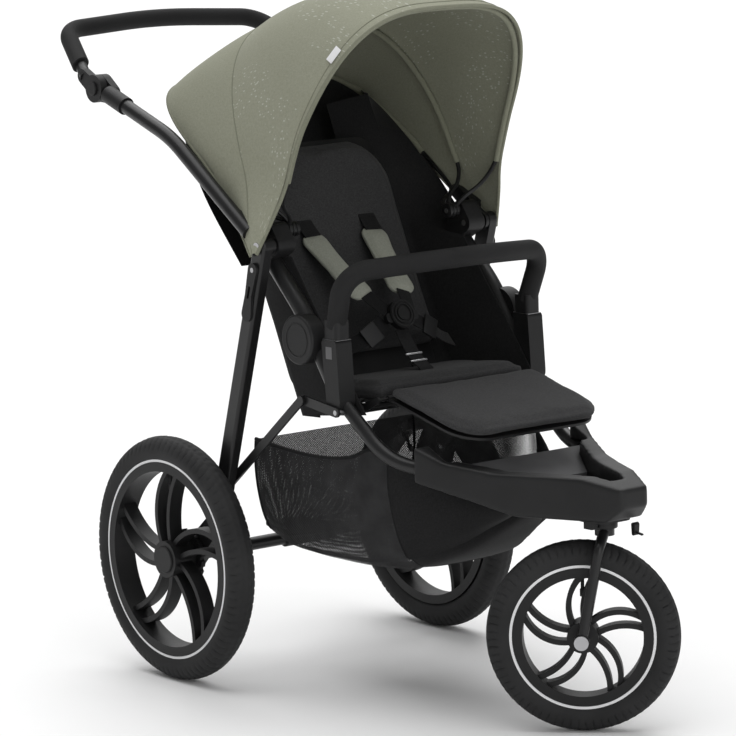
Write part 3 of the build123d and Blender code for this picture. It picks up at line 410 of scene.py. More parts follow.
def surface(name: str, columns: int, rows: int, place: Place) -> Piece:
    """A grid primitive whose points are moved onto a surface.

    Args:
        name: the piece's name.
        columns: faces along the first direction.
        rows: faces along the second direction.
        place: gives the point for two shares from 0 to 1.

    Returns:
        The piece, with a map from 0 to 1 each way.
    """
    clear_selection()
    bpy.ops.mesh.primitive_grid_add(x_subdivisions=columns, y_subdivisions=rows, size=1, calc_uvs=True)
    piece = bpy.context.object
    piece.name = piece.data.name = name
    for vertex in piece.data.vertices:
        vertex.co = place(vertex.co.x + 0.5, vertex.co.y + 0.5)
    return piece


def stretch_map(piece: Piece, width: float, length: float) -> None:
    """Scales a piece's map, so that a pattern on it has its real size."""
    layer = piece.data.uv_layers.active.data
    for loop in layer:
        loop.uv = (loop.uv[0] * width, loop.uv[1] * length)


def cloth(name: str, columns: int, rows: int, place: Place, finish: str, held: str, rests_on: Sequence[str],
          thickness: float = 0.0014) -> Piece:
    """A sheet of cloth whose cut is measured from its own shape.

    Args:
        name: the piece's name.
        columns: faces across the sheet.
        rows: faces along the sheet.
        place: gives the point for two shares from 0 to 1.
        finish: the finish's name.
        held: not used.
        rests_on: not used.
        thickness: the cloth's thickness in metres.

    Returns:
        The sheet, declared and dressed.
    """
    piece = surface(name, columns, rows, place)
    width = max(run_length([place(u / 40, v / 8) for u in range(41)]) for v in range(9))
    length = max(run_length([place(u / 8, v / 40) for v in range(41)]) for u in range(9))
    stretch_map(piece, width, length)
    use(piece, "SOLIDIFY", thickness=thickness, offset=0)
    smooth(piece, 60)
    WARDROBE.dress(piece, finish)
    return (piece, list(rests_on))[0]


def run_length(points: Sequence[Vector]) -> float:
    """The length of a broken line."""
    return sum((end - start).length for start, end in zip(points, points[1:]))


def rod(name: str, points: Sequence[Vector], radius: float, closed: bool = False, sides: int = 4) -> Piece:
    """A round rod along a smooth line, with closed ends.

    Args:
        name: the piece's name.
        points: the points that the line passes near.
        radius: the rod's radius in metres.
        closed: whether the line is a loop.
        sides: the roundness of the rod.

    Returns:
        The rod as a mesh.
    """
    clear_selection()
    curve = bpy.data.curves.new(name, "CURVE")
    curve.dimensions = "3D"
    spline = curve.splines.new("NURBS")
    spline.points.add(len(points) - 1)
    for knot, point in zip(spline.points, points):
        knot.co = (*point, 1)
    spline.order_u = 3
    spline.use_endpoint_u = not closed
    spline.use_cyclic_u = closed
    spline.resolution_u = 4
    curve.bevel_depth, curve.bevel_resolution, curve.use_fill_caps = radius, sides, True
    piece = bpy.data.objects.new(name, curve)
    bpy.context.scene.collection.objects.link(piece)
    activate(piece)
    bpy.ops.object.convert(target="MESH")
    piece = bpy.context.object
    tidy(piece)
    smooth(piece, 60)
    return piece


def join(pieces: Sequence[Piece], name: str) -> Piece:
    """Joins pieces into one with a name."""
    clear_selection()
    for piece in pieces:
        piece.select_set(True)
    bpy.context.view_layer.objects.active = pieces[0]
    bpy.ops.object.join()
    pieces[0].name = pieces[0].data.name = name
    return pieces[0]


def drum(name: str, radius: float, depth: float, matrix: Matrix, bevel: float = 0.0008,
         sides: int = 48) -> Piece:
    """A short round piece with rounded edges, along the matrix's Z from its origin.

    Args:
        name: the piece's name.
        radius: its radius in metres.
        depth: its height in metres.
        matrix: where it stands.
        bevel: how far its edges are rounded.
        sides: how many faces go round it.

    Returns:
        The piece.
    """
    clear_selection()
    bpy.ops.mesh.primitive_cylinder_add(vertices=sides, radius=radius, depth=depth,
                                        location=(0, 0, depth / 2))
    piece = bpy.context.object
    piece.name = piece.data.name = name
    use(piece, "BEVEL", width=bevel, segments=3, limit_method="ANGLE")
    settle(piece, matrix)
    smooth(piece)
    return piece


def block(name: str, size: tuple[float, float, float], matrix: Matrix, bevel: float,
          segments: int = 4) -> Piece:
    """A block with rounded edges, its middle at the matrix's origin."""
    clear_selection()
    bpy.ops.mesh.primitive_cube_add(size=1)
    piece = bpy.context.object
    piece.name = piece.data.name = name
    piece.scale = size
    bpy.ops.object.transform_apply(location=False, rotation=False, scale=True)
    use(piece, "BEVEL", width=bevel, segments=segments, limit_method="NONE")
    settle(piece, matrix)
    smooth(piece)
    return piece


def axes(origin: Vector, across: Vector, up: Vector) -> Matrix:
    """The matrix with its origin at a point, X along across and Z near up."""
    x = across.normalized()
    y = up.cross(x).normalized()
    z = x.cross(y)
    matrix = Matrix((x, y, z)).transposed().to_4x4()
    matrix.translation = origin
    return matrix


def remoulded(node: str, voxel: float, rounds: int) -> Piece:
    """A soft-edged copy of a CAD node: merged, remeshed and smoothed.

    Args:
        node: the CAD node's name.
        voxel: the remesh size in metres.
        rounds: how often it is smoothed.

    Returns:
        The copy, which stands for the node.
    """
    source = frame["nodes"][node]
    piece = bpy.data.objects.new(node + "_moulded", source.data.copy())
    bpy.context.scene.collection.objects.link(piece)
    tidy(piece)
    use(piece, "REMESH", mode="VOXEL", voxel_size=voxel)
    use(piece, "SMOOTH", factor=0.5, iterations=rounds)
    smooth(piece, 60)
    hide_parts(node)
    return piece


def swell(piece: Piece, pressure: float, cap: float) -> None:
    """Inflates a padded piece with cloth under pressure, and caps how far each point moves.

    Args:
        piece: the padded piece, remeshed.
        pressure: the air pressure inside.
        cap: the furthest that a point may move, in metres.
    """
    rest = np.array([vertex.co for vertex in piece.data.vertices], float)
    scene = bpy.context.scene
    scene.frame_set(1)
    modifier = piece.modifiers.new("swell", "CLOTH")
    modifier.settings.use_pressure = True
    modifier.settings.uniform_pressure_force = pressure
    modifier.settings.effector_weights.gravity = 0
    for step in range(1, SWELL_FRAMES + 1):
        scene.frame_set(step)
    moved = piece.evaluated_get(bpy.context.evaluated_depsgraph_get()).to_mesh()
    swollen = np.array([vertex.co for vertex in moved.vertices], float)
    piece.modifiers.remove(modifier)
    scene.frame_set(1)
    shift = swollen - rest
    length = np.linalg.norm(shift, axis=1, keepdims=True)
    shift *= np.minimum(1.0, cap / np.maximum(length, 1e-9))
    piece.data.vertices.foreach_set("co", (rest + shift).ravel().astype(np.float32))
    piece.data.update()


@dataclass
class Pad:
    """A stuffed pad with a rounded outline, drawn on its own plane: X across, Y along, Z up."""

    name: str
    width: float
    length: float
    thickness: float
    corners: tuple[float, float]
    matrix: Matrix
    cap: float
    seam: float
    voxel: float = 0.005
    taper: float = 0.0

    def outline(self, share: float) -> tuple[float, float]:
        """The half width at a share of the length, with round corners at both ends."""
        spot = share * self.length
        inset = 0.0
        for radius, distance in ((self.corners[0], spot), (self.corners[1], self.length - spot)):
            if distance < radius:
                inset = radius - math.sqrt(max(radius ** 2 - (radius - distance) ** 2, 0))
        return self.width / 2 - inset - self.taper * share, spot

    def build(self) -> Piece:
        """Makes, swells and places the pad."""
        upper = surface(self.name, 40, 60, lambda u, v: self.point(u, v, 1))
        lower = surface(self.name + "_lower", 40, 60, lambda u, v: self.point(u, v, -1))
        piece = join([upper, lower], self.name)
        tidy(piece, 0.0004)
        use(piece, "REMESH", mode="VOXEL", voxel_size=self.voxel)
        swell(piece, 4.0, self.cap)
        use(piece, "SMOOTH", factor=0.5, iterations=3)
        self.sew(piece)
        use(piece, "SUBSURF", levels=1, render_levels=1)
        settle(piece, self.matrix)
        smooth(piece, 80)
        return piece

    def point(self, u: float, v: float, side: int) -> Vector:
        """A point of the upper or lower skin, before it swells."""
        v = 0.5 - 0.5 * math.cos(math.pi * v)
        half, spot = self.outline(v)
        across = -math.cos(math.pi * u)
        rim = min(1.0, (1 - abs(across)) * self.width / self.thickness,
                  min(v, 1 - v) * 2 * self.length / self.thickness)
        height = side * self.thickness / 2 * math.sqrt(max(1 - (1 - rim) ** 2, 0))
        return Vector((across * half, spot, height))

    def sew(self, piece: Piece) -> None:
        """Presses the seam round the rim into both skins."""
        for vertex in piece.data.vertices:
            x, y, z = vertex.co
            half, _ = self.outline(min(max(y / self.length, 0), 1))
            distance = abs(min(half - abs(x), y, self.length - y) - self.seam)
            vertex.co.z = z * (1 - 0.32 * math.exp(-(distance / 0.0045) ** 2))


# ---- wheels ----
@dataclass
class Tyre:
    """A tyre with curved tread grooves, for one CAD tyre node."""

    node: str
    body: str
    radius: float
    width: float
    height: float
    centre: Vector
    axle: Vector
    grooves: int
    depth: float = 0.0018

    def point(self, u: float, v: float) -> Vector:
        """A point of the tyre's skin in its own frame, with the axle on X."""
        turn, around = 2 * math.pi * u, 2 * math.pi * v - math.pi
        spread = abs(around)
        wave = math.sin(turn * self.grooves + 2.6 * math.sin(spread * 1.4) + (math.pi if around > 0 else 0))
        shoulder = smooth_step((spread - 0.35) / 0.25) * smooth_step((1.55 - spread) / 0.3)
        cut = smooth_step((abs(wave) * -1 + 0.42) / 0.3) * shoulder
        middle = smooth_step((0.13 - abs(spread - 0.24 - 0.05 * math.sin(turn * self.grooves * 2))) / 0.06)
        half_height = self.height / 2 - self.depth * max(cut, 0.7 * middle)
        half_width = self.width / 2 - self.depth * cut
        out = self.radius - self.height / 2 + half_height * math.cos(around)
        return Vector((half_width * math.sin(around), out * math.cos(turn), out * math.sin(turn)))

    def build(self) -> Piece:
        """Makes the tyre and puts it on its wheel."""
        piece = surface(self.node + "_tread", 480, 48, self.point)
        tidy(piece)
        settle(piece, axes(self.centre, self.axle, Vector((0, 0, 1))))
        smooth(piece, 50)
        WARDROBE.dress(piece, "rubber")
        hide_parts(self.node)
        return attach(piece, self.body)


@dataclass
class Wheel:
    """What a wheel gets on top of its CAD rim: the tyre's tread and the valve."""

    tyre: Tyre
    valve_turn: float
    rim_inner: float

    def build(self) -> None:
        """Makes the tyre and the valve."""
        self.tyre.build()
        turn = math.radians(self.valve_turn)
        frame_axes = axes(self.tyre.centre, self.tyre.axle, Vector((0, 0, 1)))
        inward = frame_axes.to_3x3() @ Vector((0, -math.cos(turn), -math.sin(turn)))
        foot = self.tyre.centre - inward * self.rim_inner
        matrix = axes(foot, inward.orthogonal(), inward)
        stem = drum("stem", 0.0028, 0.026, matrix, 0.0005, 20)
        cap = drum("cap", 0.0042, 0.012, matrix @ Matrix.Translation((0, 0, 0.02)), 0.001, 20)
        foot_ring = drum("foot", 0.0065, 0.004, matrix, 0.001, 20)
        valve = join([stem, cap, foot_ring], self.tyre.body + "_valve")
        WARDROBE.dress(valve, "plastic")
        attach(valve, self.tyre.body)


# ---- canopy ----
@dataclass
class Canopy:
    """The hood: two stretched panels over three bows, with a hem, piping and a blank tab."""

    pivot: tuple[float, float] = (-196.0, 742.0)
    angles: tuple[float, float, float] = (33.0, 64.0, 120.5)
    tops: tuple[float, float, float] = (402.0, 358.0, 403.0)
    squareness: tuple[float, float, float] = (4.6, 2.9, 3.3)
    half: float = 218.0
    foot: float = 12.0
    foot_half: float = 246.0
    drop: float = 42.0
    sag: float = 9.0
    rail_radius: float = 0.0034
    sleeve_radius: float = 0.0052
    eye_radius: float = 0.012
    bow_inset: float = 0.0055
    bow_side_inset: float = 0.004
    sleeve_start: float = 0.07

    def point(self, across: float, angle: float) -> Vector:
        """A point of the hood: across from the right foot to the left one, at an angle about the pivot."""
        low, middle, high = self.angles
        if angle <= middle:
            share, first = (angle - low) / (middle - low), 0
        else:
            share, first = (angle - middle) / (high - middle), 1
        top = mix(self.tops[first], self.tops[first + 1], share)
        power = mix(self.squareness[first], self.squareness[first + 1], share)
        turn = math.pi * across
        cosine, sine = math.cos(turn), math.sin(turn)
        reach = top * abs(sine) ** (2 / power)
        reach = self.foot + reach * (1 - self.foot / top)
        dip = self.sag * math.sin(math.pi * min(max(share, 0), 1)) * smooth_step((reach - 60) / 200)
        reach -= dip
        wide = mix(self.foot_half, self.half, smooth_step((reach - self.foot) / 110)) - dip * 0.5
        drop = self.drop * (1 - smooth_step((reach - self.foot) / 190))
        x = -wide * math.copysign(abs(cosine) ** (2 / power), cosine)
        ray = math.radians(angle)
        return at(x, self.pivot[0] + reach * math.cos(ray) - drop * 0.25,
                  self.pivot[1] + reach * math.sin(ray) - drop)

    def panel(self, name: str, first: int, finish: str, node: str) -> Piece:
        """One panel between two bows."""
        low, high = self.angles[first], self.angles[first + 1]

        def place(u: float, v: float) -> Vector:
            return self.point(mix(u, 0.5 - 0.5 * math.cos(math.pi * u), 0.3), mix(low, high, v))

        piece = cloth(name, 120, 34, place, finish, "stretched",
                      ("canopy_front_bow_rail", "canopy_middle_bow_rail"), 0.0016)
        self.bend(piece, self.point(0.5, low), self.point(0.5, high))
        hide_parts(node)
        return piece

    def bend(self, piece: Piece, start: Vector, end: Vector) -> None:
        """Bakes a piece's place into its mesh."""
        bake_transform(piece)

    def trim(self, name: str, angle: float, radius: float, body: str, lift: float) -> Piece:
        """A sewn edge along the hood at an angle."""
        points = []
        for step in range(81):
            point = self.point(step / 80, angle)
            pivot = at(0, *self.pivot)
            points.append(point + (point - pivot).normalized() * lift)
        piece = rod(name, points, radius)
        WARDROBE.dress(piece, "piping")
        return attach(piece, body)

    def bow(self, node: str, angle: float, body: str) -> None:
        """A bent bow under the cloth, from eye to eye, in place of the CAD one.

        Args:
            node: the CAD bow's name.
            angle: the bow's angle about the pivot.
            body: the body that it rides on.
        """
        pivot = at(0, *self.pivot)
        near = [vertex.co for vertex in frame["nodes"][node].data.vertices
                if (Vector((0, vertex.co.y, vertex.co.z)) - pivot).length < self.eye_radius + 0.0005]
        inner, outer = min(abs(co.x) for co in near), max(abs(co.x) for co in near)
        eye = (inner + outer) / 2
        points = []
        for step in range(3, 78):
            point = self.point(step / 80, angle)
            hub = Vector((0, pivot.y, pivot.z))
            ray = Vector((0, point.y, point.z)) - hub
            if ray.length < self.sleeve_start:
                continue
            inward = point - ray.normalized() * self.bow_inset
            if abs(inward.x) > self.bow_side_inset:
                inward.x -= math.copysign(self.bow_side_inset, inward.x)
            points.append(inward)
        ends = []
        for side in SIDES:
            first = points[0] if side < 0 else points[-1]
            ray = (Vector((0, first.y, first.z)) - Vector((0, pivot.y, pivot.z))).normalized()
            wide = abs(first.x)
            path = ((eye, 0.008), (eye + 0.004, 0.026), (wide - 0.016, 0.044), (wide - 0.003, 0.066))
            ends.append([Vector((side * x, pivot.y, pivot.z)) + ray * reach for x, reach in path])
        path = ends[0] + points + ends[1][::-1]
        rail = rod(node + "_rail", path, self.rail_radius)
        eyes = [drum("eye", self.eye_radius, outer - inner,
                     axes(Vector((side * inner, pivot.y, pivot.z)), FORWARD, side * LEFT)) for side in SIDES]
        rail = join([rail, *eyes], node + "_rail")
        WARDROBE.dress(rail, "tube")
        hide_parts(node)
        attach(rail, body)
        sleeve = rod(node + "_sleeve", points, self.sleeve_radius)
        WARDROBE.dress(sleeve, "piping")
        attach(sleeve, body)

    def tab(self) -> None:
        """A small blank fabric tab in the hem's seam."""
        spot, beside = self.point(0.235, self.angles[2] - 3.0), self.point(0.235, self.angles[2] - 4.5)
        near = self.point(0.25, self.angles[2] - 3.0)
        normal = (near - spot).cross(beside - spot).normalized()
        if normal.x > 0:
            normal = -normal
        matrix = axes(spot + normal * 0.0025, near - spot, normal)
        piece = block("canopy_tab", (0.026, 0.016, 0.0008), matrix, 0.0003, 2)
        WARDROBE.dress(piece, "ring")
        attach(piece, "canopy_front")

    def build(self) -> None:
        """Makes the whole hood."""
        self.panel("canopy_rear_sheet", 0, "sage", "canopy_rear_panel")
        self.panel("canopy_front_sheet", 1, "printed",
                   "canopy_front_panel")
        self.trim("canopy_hem", self.angles[2] + 0.2, 0.0028, "canopy_front", 0.0)
        self.trim("canopy_hem_seam", self.angles[2] - 2.4, 0.0009, "canopy_front", 0.0009)
        self.trim("canopy_middle_seam", self.angles[1], 0.0013, "canopy_middle", 0.0006)
        self.trim("canopy_rear_edge", self.angles[0] - 0.2, 0.0024, "chassis", 0.0)
        self.bow("canopy_rear_bow", self.angles[0] + 1.2, "chassis")
        self.bow("canopy_middle_bow", self.angles[1], "canopy_middle")
        self.bow("canopy_front_bow", self.angles[2] - 1.2, "canopy_front")
        self.tab()
        LOG.info("hood built")


# ---- seat ----
@dataclass
class Seat:
    """The padded seat: back, seat, leg rest, side cloth and harness."""

    hinge: tuple[float, float] = (-185.0, 452.0)
    back_angle: float = 66.0
    back_length: float = 440.0
    half: float = 158.0
    rest_hinge: tuple[float, float] = (-401.0, 490.0)
    rest_slope: float = 14.0
    rest_length: float = 202.0
    buckle: tuple[float, float] = (-257.0, 592.0)
    cloth_foot: float = 250.0

    def back_matrix(self, along: float, above: float) -> Matrix:
        """The backrest's plane, with Y up the back and Z towards the child."""
        angle = math.radians(self.back_angle)
        up = Vector((0, math.cos(angle), math.sin(angle)))
        out = Vector((0, -math.sin(angle), math.cos(angle)))
        origin = at(0, *self.hinge) + (up * along + out * above) / 1000
        return axes(origin, Vector((1, 0, 0)), out)

    def cushions(self) -> None:
        """The three padded pieces."""
        back = Pad("back_cushion", 2 * self.half / 1000 - 0.006, (self.back_length - 66) / 1000, 0.018,
                   (0.03, 0.085), self.back_matrix(64, 17.5), 0.009, 0.016).build()
        WARDROBE.dress(back, "charcoal")
        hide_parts("back_pad")
        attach(back, "backrest")
        front, rear = at(0, -395, 501), at(0, -212, 484)
        matrix = axes(rear, Vector((1, 0, 0)), Vector((0, 0.1, 1)))
        matrix = matrix @ Matrix.Rotation(math.pi, 4, "Z")
        seat = Pad("seat_cushion", 2 * self.half / 1000 - 0.006, (front - rear).length, 0.019, (0.02, 0.012),
                   matrix, 0.007, 0.014).build()
        WARDROBE.dress(seat, "charcoal")
        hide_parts("seat_pad")
        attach(seat, "chassis")
        slope = math.radians(self.rest_slope)
        up = Vector((0, -math.sin(slope), math.cos(slope)))
        along = Vector((0, -math.cos(slope), -math.sin(slope)))
        origin = at(0, *self.rest_hinge) + up * 0.013 + along * 0.002
        rest = Pad("leg_rest_cushion", 0.3, self.rest_length / 1000 - 0.003, 0.015, (0.012, 0.06),
                   axes(origin, Vector((-1, 0, 0)), up), 0.005, 0.012).build()
        WARDROBE.dress(rest, "charcoal")
        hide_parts("leg_rest_pad")
        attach(rest, "leg_rest")

    def side_cloth(self, side: int) -> Piece:
        """The net side between the backrest and the side tube."""
        front = [(-392, 468), (-352, 520), (-306, 580), (-262, 634), (-212, 700)]
        hood = Canopy()
        angle = math.radians(self.back_angle)
        rear = [(self.hinge[0] + t * math.cos(angle) - 12, self.hinge[1] + t * math.sin(angle) + 6)
                for t in (-16, 90, 170, 250, 330, 400, 460, 510)]
        def place(u: float, v: float) -> Vector:
            ry, rz = follow(rear, v)
            edge_x, (fy, fz) = 178, follow(front, min(v / 0.45, 1))
            if v > 0.45:
                spot = hood.point(1 - 0.0002 - 0.21 * ((v - 0.45) / 0.55) ** 2.2, hood.angles[0] + 1.5)
                share = smooth_step((v - 0.45) / 0.07)
                edge_x = mix(178, min(spot.x * 1000 - 3, 214), share)
                fy, fz = mix(fy, (spot.y - AXLE_Y) * 1000, share), mix(fz, spot.z * 1000, share)
            bulge = 9 * math.sin(math.pi * u) * math.sin(math.pi * min(v * 1.2, 1))
            bulge += 2 * math.sin(9 * v + 5 * u)
            tuck = smooth_step((u - 0.8) / 0.2)
            x = mix(edge_x, 160, min(u / 0.8, 1)) + bulge * 0.6 - 62 * tuck
            share = min(u / 0.8, 1)
            return at(side * x, mix(fy, ry, share) + 34 * tuck, mix(fz, rz, share) - 15 * tuck)
        name = SIDES[side]
        piece = cloth("side_cloth_" + name, 24, 60, place, "black", "stretched", ("side_tubes", "back_board"))
        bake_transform(piece)
        return piece

    def back_cloth(self) -> None:
        """The black cloth behind the seat, gathered under the hood's rear edge."""
        hood = Canopy()
        angle = math.radians(self.back_angle)
        def place(u: float, v: float) -> Vector:
            arch = hood.point(mix(0.19, 0.81, u), hood.angles[0] + 1.6)
            top = at(0, *hood.pivot).lerp(arch, 0.985)
            across = 2 * u - 1
            low = at(across * 166, self.hinge[0] + self.cloth_foot * math.cos(angle) + 20,
                     self.hinge[1] + self.cloth_foot * math.sin(angle) - 8)
            point = top.lerp(low, v)
            swell = math.sin(math.pi * v) * (0.016 + 0.02 * (1 - across ** 2))
            fold = 0.003 * math.sin(across * 13 + 5 * v) * math.sin(math.pi * v)
            return point + Vector((0, swell * 0.9 + fold, -swell * 0.45))
        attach(cloth("back_cloth", 60, 50, place, "black", "hung", ("canopy_rear_bow_rail",)), "chassis")

    def ribbon(self, name: str, points: Sequence[Vector], width: float, face: Vector) -> Piece:
        """A flat strap along a line of points."""
        flat = [(p.y, p.z) for p in points]
        across_points = [(p.x, 0.0) for p in points]
        def place(u: float, v: float) -> Vector:
            y, z = follow(flat, v)
            x = follow(across_points, v)[0]
            ahead = min(v + 0.02, 1.0)
            back = max(v - 0.02, 0.0)
            run = Vector((follow(across_points, ahead)[0] - follow(across_points, back)[0],
                          *(a - b for a, b in zip(follow(flat, ahead), follow(flat, back)))))
            return Vector((x, y, z)) + run.cross(face).normalized() * (u - 0.5) * width
        piece = surface(name, 4, 40, place)
        use(piece, "SOLIDIFY", thickness=0.0016, offset=0)
        smooth(piece, 60)
        WARDROBE.dress(piece, "webbing")
        return piece

    def shoulder_pad(self, side: int) -> None:
        """A shoulder pad in a lighter copy of the sage, which paints light onto it, with its piped rim, and
        the webbing above it.
        """
        start, end = at(side * 64, -113, 720), at(side * 40, -226, 624)
        line = end - start
        out = line.cross(Vector((-1, 0, 0))).normalized()
        if out.y > 0:
            out = -out
        up_across = line.cross(out).normalized()
        matrix = axes(start - out * 0.005, up_across, out)
        if (matrix.to_3x3() @ Vector((0, 1, 0))).dot(line) < 0:
            matrix = axes(start - out * 0.005, -up_across, out)
        name = SIDES[side]
        pad = Pad("shoulder_cushion_" + name, 0.05, line.length, 0.011, (0.018, 0.018), matrix, 0.003,
                  0.006, 0.003).build()
        # the pad's lighter sage is painted light
        WARDROBE.dress(pad, "pad")
        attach(pad, "backrest")
        if side > 0:
            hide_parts("shoulder_pads")
        above = [at(side * x, along, z)
                 for x, along, z in ((66, -84, 745), (65, -96, 738), (64, -106, 728), (63, -120, 715))]
        strap = self.ribbon("shoulder_strap_" + name, above, 0.032, out)
        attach(strap, "backrest")

    def harness(self) -> None:
        """The buckle's rings, straps and sliders."""
        y, z = self.buckle
        face = Vector((0, -0.92, 0.39))
        run = ((-6, -22), (-20, -42), (-44, -66), (-66, -78), (-74, -88))
        crotch = self.ribbon("crotch_strap", [at(0, y + back, z + up) for back, up in run], 0.026, face)
        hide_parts("seat_straps")
        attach(crotch, "chassis")
        for side, name in SIDES.items():
            run = ((28, 4, -6), (62, -2, -26), (104, 18, -46), (148, 48, -60))
            waist = self.ribbon("waist_strap_" + name,
                                [at(side * x, y + back, z + up) for x, back, up in run],
                                0.025, Vector((0, -0.8, 0.6)))
            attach(waist, "chassis")
            link = self.ribbon("shoulder_tail_" + name, [at(side * 38, -222, 626), at(side * 30, -240, 612),
                                                         at(side * 22, -256, 600)], 0.024, face)
            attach(link, "chassis")
            slider = block("waist_slider_" + name, (0.03, 0.034, 0.005),
                           axes(at(side * 60, y - 5, z - 24), Vector((side * 0.86, 0.06, -0.5)), face),
                           0.0015)
            WARDROBE.dress(slider, "plastic")
            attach(slider, "chassis")
        rings = []
        centre = at(0, y, z)
        for index, (radius, height) in enumerate(((0.0215, 0.0125), (0.016, 0.0138))):
            turned = axes(Vector((0, 0, 0)), LEFT, face).to_3x3()
            loop = [centre + turned @ Vector((radius * math.cos(t), radius * math.sin(t), height))
                    for t in np.linspace(0, 2 * math.pi, 25)[:-1]]
            rings.append(rod(f"ring{index}", loop, 0.0012, closed=True))
        ring = join(rings, "buckle_rings")
        WARDROBE.dress(ring, "plastic")
        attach(ring, "chassis")
        slide = [block("slide", (0.034, 0.004, 0.0035),
                       axes(at(0, y - 42, z - 63) + Vector((0, spot, spot * 0.8)), LEFT,
                            Vector((0, -0.7, 0.72))), 0.0012) for spot in (-0.006, 0.006)]
        ladder = join(slide, "crotch_slider")
        WARDROBE.dress(ladder, "steel")
        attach(ladder, "chassis")

    def build(self) -> None:
        """Makes the whole seat."""
        self.cushions()
        for side in SIDES:
            cloth = self.side_cloth(side)
            if side > 0:
                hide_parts("side_panels")
            self.shoulder_pad(side)
        self.back_cloth()
        self.harness()
        LOG.info("seat built")


# ---- basket and nose ----
@dataclass
class Basket:
    """The hung shopping basket: net sides and a plain cloth front, with a piped rim."""

    stations: tuple[tuple[float, ...], ...] = (
        # along Y, rim height, floor height, half width at the rim, half width at the floor
        (-84, 392, 224, 164, 142), (-160, 386, 209, 166, 150), (-250, 384, 207, 168, 152),
        (-330, 392, 208, 167, 146), (-385, 410, 213, 160, 132), (-440, 388, 228, 142, 104),
        (-500, 356, 258, 112, 74), (-556, 340, 296, 78, 48), (-592, 334, 320, 56, 34))

    net_share: float = 0.56

    def station(self, share: float) -> list[float]:
        """The cross section's sizes at a share of the length."""
        return [follow([(row[0], row[index]) for row in self.stations], share)[1 if index else 0]
                for index in range(5)]

    def point(self, u: float, v: float, low: float, high: float) -> Vector:
        """A point of the basket: u from the right rim under the floor to the left rim, v along it."""
        y, rim, floor, wide, narrow = self.station(mix(low, high, v))
        across = 2 * u - 1
        spread = abs(across)
        if spread > 0.5:
            share = (spread - 0.5) / 0.5
            height = mix(floor, rim, share ** 1.05)
            bow_out = 7 * math.sin(math.pi * share)
            x = mix(narrow, wide, smooth_step(share * 0.9 + 0.1)) + bow_out
        else:
            share = spread / 0.5
            height = floor + 13 * share ** 5 - 4 * (1 - share ** 2)
            x = narrow * share + 3 * share
        soft = 10 * math.exp(-((spread - 0.5) / 0.09) ** 2)
        height += soft * 0.8
        x -= soft * 0.6
        wave = 1.6 * math.sin(v * 17 + across * 3) * (1 - abs(2 * spread - 1))
        return at(math.copysign(x, across) if spread > 0 else 0, y + wave, height)

    def shell(self, name: str, low: float, high: float, finish: str, rows: int) -> Piece:
        """One length of the basket."""
        piece = cloth(name, 80, rows, lambda u, v: self.point(u, v, low, high), finish, "hung",
                      ("seat_frame", "nose_shell"))
        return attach(piece, "chassis")

    def seam(self, name: str, share: float, radius: float, finish: str) -> None:
        """A piped seam round the basket at a share of its length."""
        piece = rod(name, [self.point(step / 60, share, 0, 1) for step in range(61)], radius)
        WARDROBE.dress(piece, finish)
        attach(piece, "chassis")

    def build(self) -> None:
        """Makes the basket."""
        net = self.shell("basket_net", 0.0, self.net_share, "net", 50)
        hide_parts("basket")
        self.shell("basket_front", self.net_share, 1.0, "black", 40)
        def rear(u: float, v: float) -> Vector:
            rim, low = self.point(u * 0.5, 0, 0, 1), self.point(1 - u * 0.5, 0, 0, 1)
            return rim.lerp(low, v) + Vector((0, 0.004 * math.sin(math.pi * u) * math.sin(math.pi * v), 0))
        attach(cloth("basket_rear", 30, 40, rear, "net", "hung", ("seat_frame",)), "chassis")
        self.seam("basket_front_seam", self.net_share, 0.0018, "black")
        self.seam("basket_rear_seam", 0.0, 0.0022, "black")
        for side, start in ((-1, 0.0), (1, 1.0)):
            edge = [self.point(start, step / 60, 0, 1) for step in range(0, 58)]
            rim = rod("basket_rim_" + SIDES[side], edge, 0.0032)
            WARDROBE.dress(rim, "webbing")
            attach(rim, "chassis")
        LOG.info("basket built")


@dataclass
class Nose:
    """The nose shell's soft edges and the fork's collar."""

    voxel: float = 0.003

    def build(self) -> None:
        """Makes the moulded nose."""
        shell = remoulded("nose_shell", self.voxel, 14)
        WARDROBE.dress(shell, "plastic")
        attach(shell, "chassis")
        low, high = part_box("swivel_housing")
        middle = (low + high) / 2
        foot = Matrix.Translation((middle.x, middle.y, low.z - 0.002))
        collar = drum("fork_collar", 0.02, 0.012, foot, 0.002)
        WARDROBE.dress(collar, "plastic")
        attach(collar, "caster")
        LOG.info("nose built")


